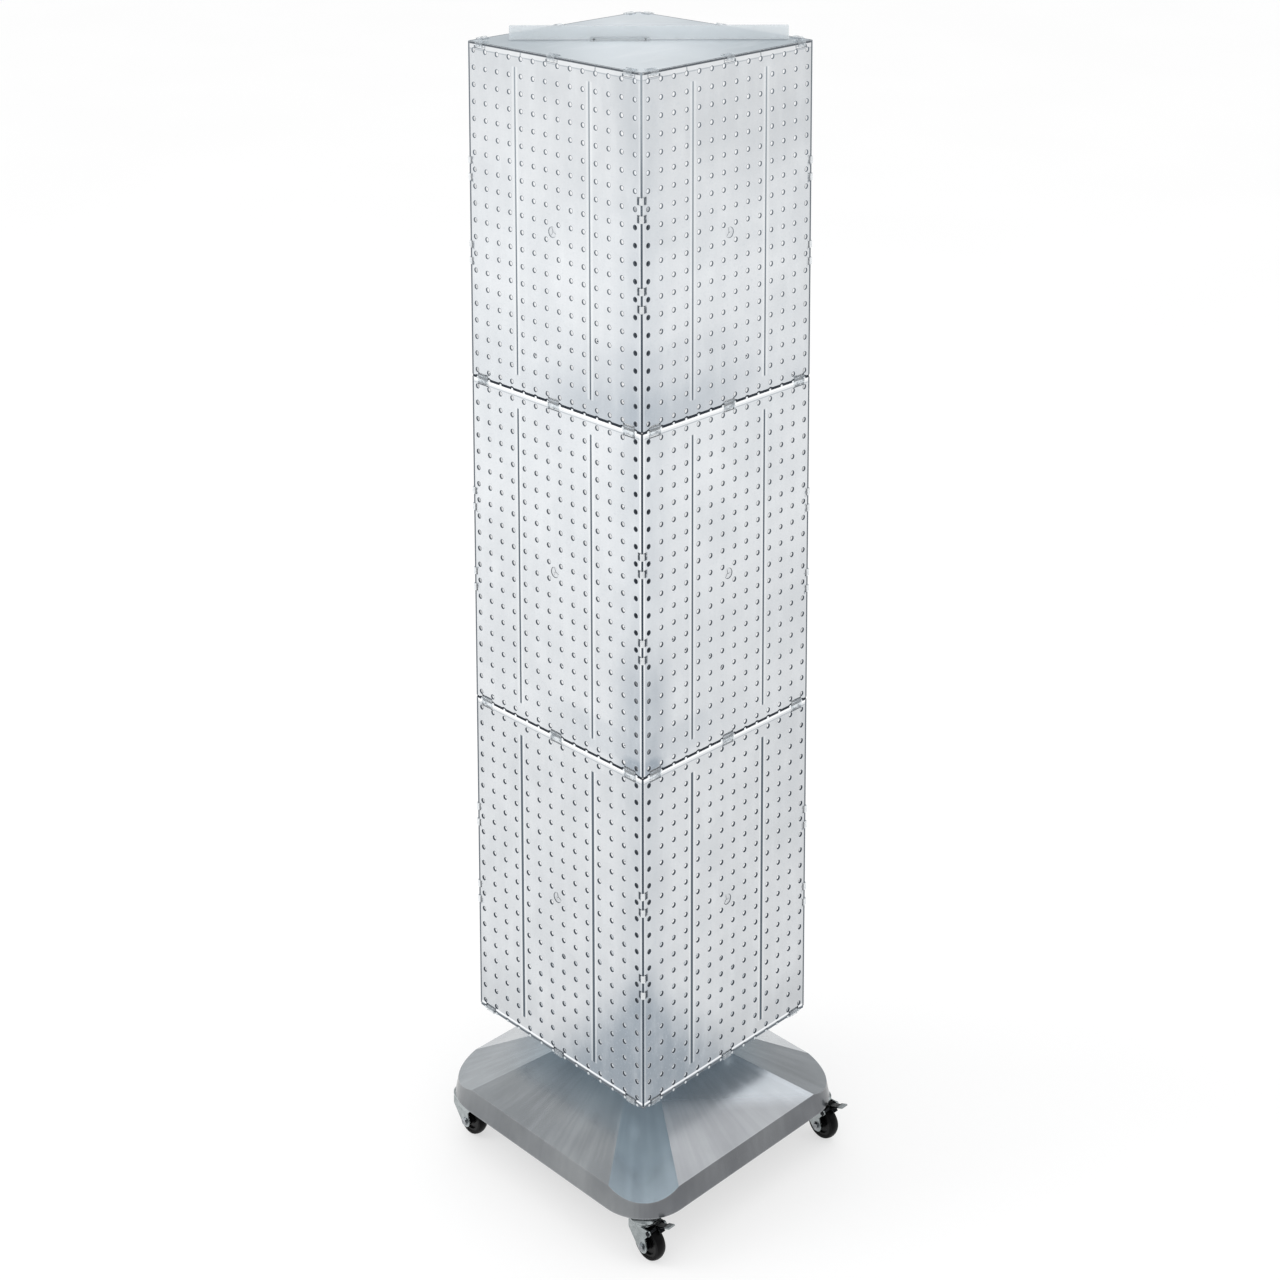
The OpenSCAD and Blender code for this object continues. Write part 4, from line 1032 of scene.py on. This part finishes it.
# ---------------------------------------------------------------- studio
def floor_material():
    m = Nodes("studio_floor")
    co = m.coords("Generated")
    n = m.noise(co, 60.0, 2.0)
    c = m.mix(m.ramp(n, 0.3, 0.7), (0.93, 0.93, 0.93), (0.95, 0.95, 0.95))
    p = m.principled(color=c, rough=0.6, spec=0.1)
    e = m.new("ShaderNodeEmission")
    m.put(e.inputs[0], (1.0, 1.0, 1.0))
    m.put(e.inputs[1], 1.04)
    mx = m.new("ShaderNodeMixShader")
    mx.inputs[0].default_value = 0.57
    m.put(mx.inputs[1], p)
    m.put(mx.inputs[2], e.outputs[0])
    m.mat.cycles.emission_sampling = "NONE"
    return m.finish(mx.outputs[0])


me = bpy.data.meshes.new("studio_floor")
R = 30.0
me.from_pydata([(-R, -R, 0), (R, -R, 0), (R, R, 0), (-R, R, 0)], [], [(0, 1, 2, 3)])
floor = new_object("studio_floor", me)
floor.data.materials.append(floor_material())

world = bpy.data.worlds.new("studio")
scene.world = world
world.use_nodes = True
wt = world.node_tree
wt.nodes.clear()
wout = wt.nodes.new("ShaderNodeOutputWorld")
bg_white = wt.nodes.new("ShaderNodeBackground")
bg_white.inputs[0].default_value = (1.0, 1.0, 1.0, 1)
bg_white.inputs[1].default_value = 1.0
bg_cam = wt.nodes.new("ShaderNodeBackground")
bg_cam.inputs[0].default_value = (1.0, 1.0, 1.0, 1)
bg_cam.inputs[1].default_value = 1.05
bg_refl = wt.nodes.new("ShaderNodeBackground")
tc = wt.nodes.new("ShaderNodeTexCoord")
sep = wt.nodes.new("ShaderNodeSeparateXYZ")
wt.links.new(tc.outputs["Generated"], sep.inputs[0])


def wmath(op, a, b):
    n = wt.nodes.new("ShaderNodeMath")
    n.operation = op
    for i, q in enumerate((a, b)):
        if isinstance(q, bpy.types.NodeSocket):
            wt.links.new(q, n.inputs[i])
        else:
            n.inputs[i].default_value = q
    return n.outputs[0]


def blob(direction, near, far, gain):
    """soft bright card in the reflections, around one direction (angles in degrees)"""
    d = Vector(direction).normalized()
    nrm = wt.nodes.new("ShaderNodeVectorMath")
    nrm.operation = "DOT_PRODUCT"
    wt.links.new(tc.outputs["Generated"], nrm.inputs[0])
    nrm.inputs[1].default_value = d
    mr = wt.nodes.new("ShaderNodeMapRange")
    mr.interpolation_type = "SMOOTHSTEP"
    wt.links.new(nrm.outputs["Value"], mr.inputs[0])
    for i, q in enumerate((math.cos(math.radians(far)), math.cos(math.radians(near)), 0.0, gain)):
        mr.inputs[i + 1].default_value = q
    return mr.outputs[0]


# reflections: an even grey room with a bright card up behind to the right and a smaller one on the left
total = wmath("ADD", 0.43, blob((0.115, 0.546, 0.829), 8, 34, 1.18))
total = wmath("ADD", total, blob((-0.91, 0.22, 0.35), 8, 38, 0.26))
total = wmath("ADD", total, blob((-0.03, 0.0, 1.0), 4, 26, 0.16))
bg_refl.inputs[0].default_value = (0.97, 0.99, 1.0, 1)
wt.links.new(total, bg_refl.inputs[1])
lp = wt.nodes.new("ShaderNodeLightPath")
m1 = wt.nodes.new("ShaderNodeMixShader")
wt.links.new(lp.outputs["Is Glossy Ray"], m1.inputs[0])
wt.links.new(bg_white.outputs[0], m1.inputs[1])
wt.links.new(bg_refl.outputs[0], m1.inputs[2])
m2 = wt.nodes.new("ShaderNodeMixShader")
wt.links.new(lp.outputs["Is Camera Ray"], m2.inputs[0])
wt.links.new(m1.outputs[0], m2.inputs[1])
wt.links.new(bg_cam.outputs[0], m2.inputs[2])
wt.links.new(m2.outputs[0], wout.inputs[0])


def area(name, loc, target, size, power, color=(1, 1, 1)):
    l = bpy.data.lights.new(name, "AREA")
    l.shape = "RECTANGLE"
    l.size, l.size_y = size
    l.energy = power
    l.color = color
    o = bpy.data.objects.new(name, l)
    scene.collection.objects.link(o)
    o.location = loc
    o.rotation_euler = (Vector(target) - Vector(loc)).to_track_quat("-Z", "Y").to_euler()
    return o


area("key_soft", (-2.6, -3.2, 3.6), (0, 0, 0.9), (2.6, 2.6), 55)
area("fill_soft", (3.6, 1.6, 3.2), (0, 0, 0.8), (2.4, 2.4), 14)

# ---------------------------------------------------------------- camera (view camera with a lens shift)
cd = bpy.data.cameras.new("camera")
cam = bpy.data.objects.new("camera", cd)
scene.collection.objects.link(cam)
scene.camera = cam
yaw, pitch, roll, foc = 0.81660 + math.pi / 2, 0.14770, -0.0077, 2258.30
ppx, ppy = 554.17, -28.81
fwd = Vector((math.cos(yaw) * math.cos(pitch), math.sin(yaw) * math.cos(pitch), -math.sin(pitch)))
right = fwd.cross(Vector((0, 0, 1))).normalized()
up = right.cross(fwd)
r2 = right * math.cos(roll) + up * math.sin(roll)
u2 = -right * math.sin(roll) + up * math.cos(roll)
rot = Matrix((r2, u2, -fwd)).transposed().to_4x4()
cam.matrix_world = Matrix.Translation((2.2732, -2.3057, 2.3186)) @ rot
cd.sensor_width = 36.0
cd.lens = foc / 1280 * 36.0
cd.clip_end = 200.0
SHIFT = ((640 - ppx) / 1280.0, -(640 - ppy) / 1280.0)
for i, attr in enumerate(("shift_x", "shift_y")):
    drv = cd.driver_add(attr).driver
    drv.type = "SCRIPTED"
    var = drv.variables.new()
    var.name = "m"
    var.type = "SINGLE_PROP"
    var.targets[0].id = cam
    var.targets[0].data_path = "rotation_mode"
    # the shift belongs to this view only: another view turns the camera by quaternion
    drv.expression = f"m * {SHIFT[i]:.6f}"

bpy.context.view_layer.update()
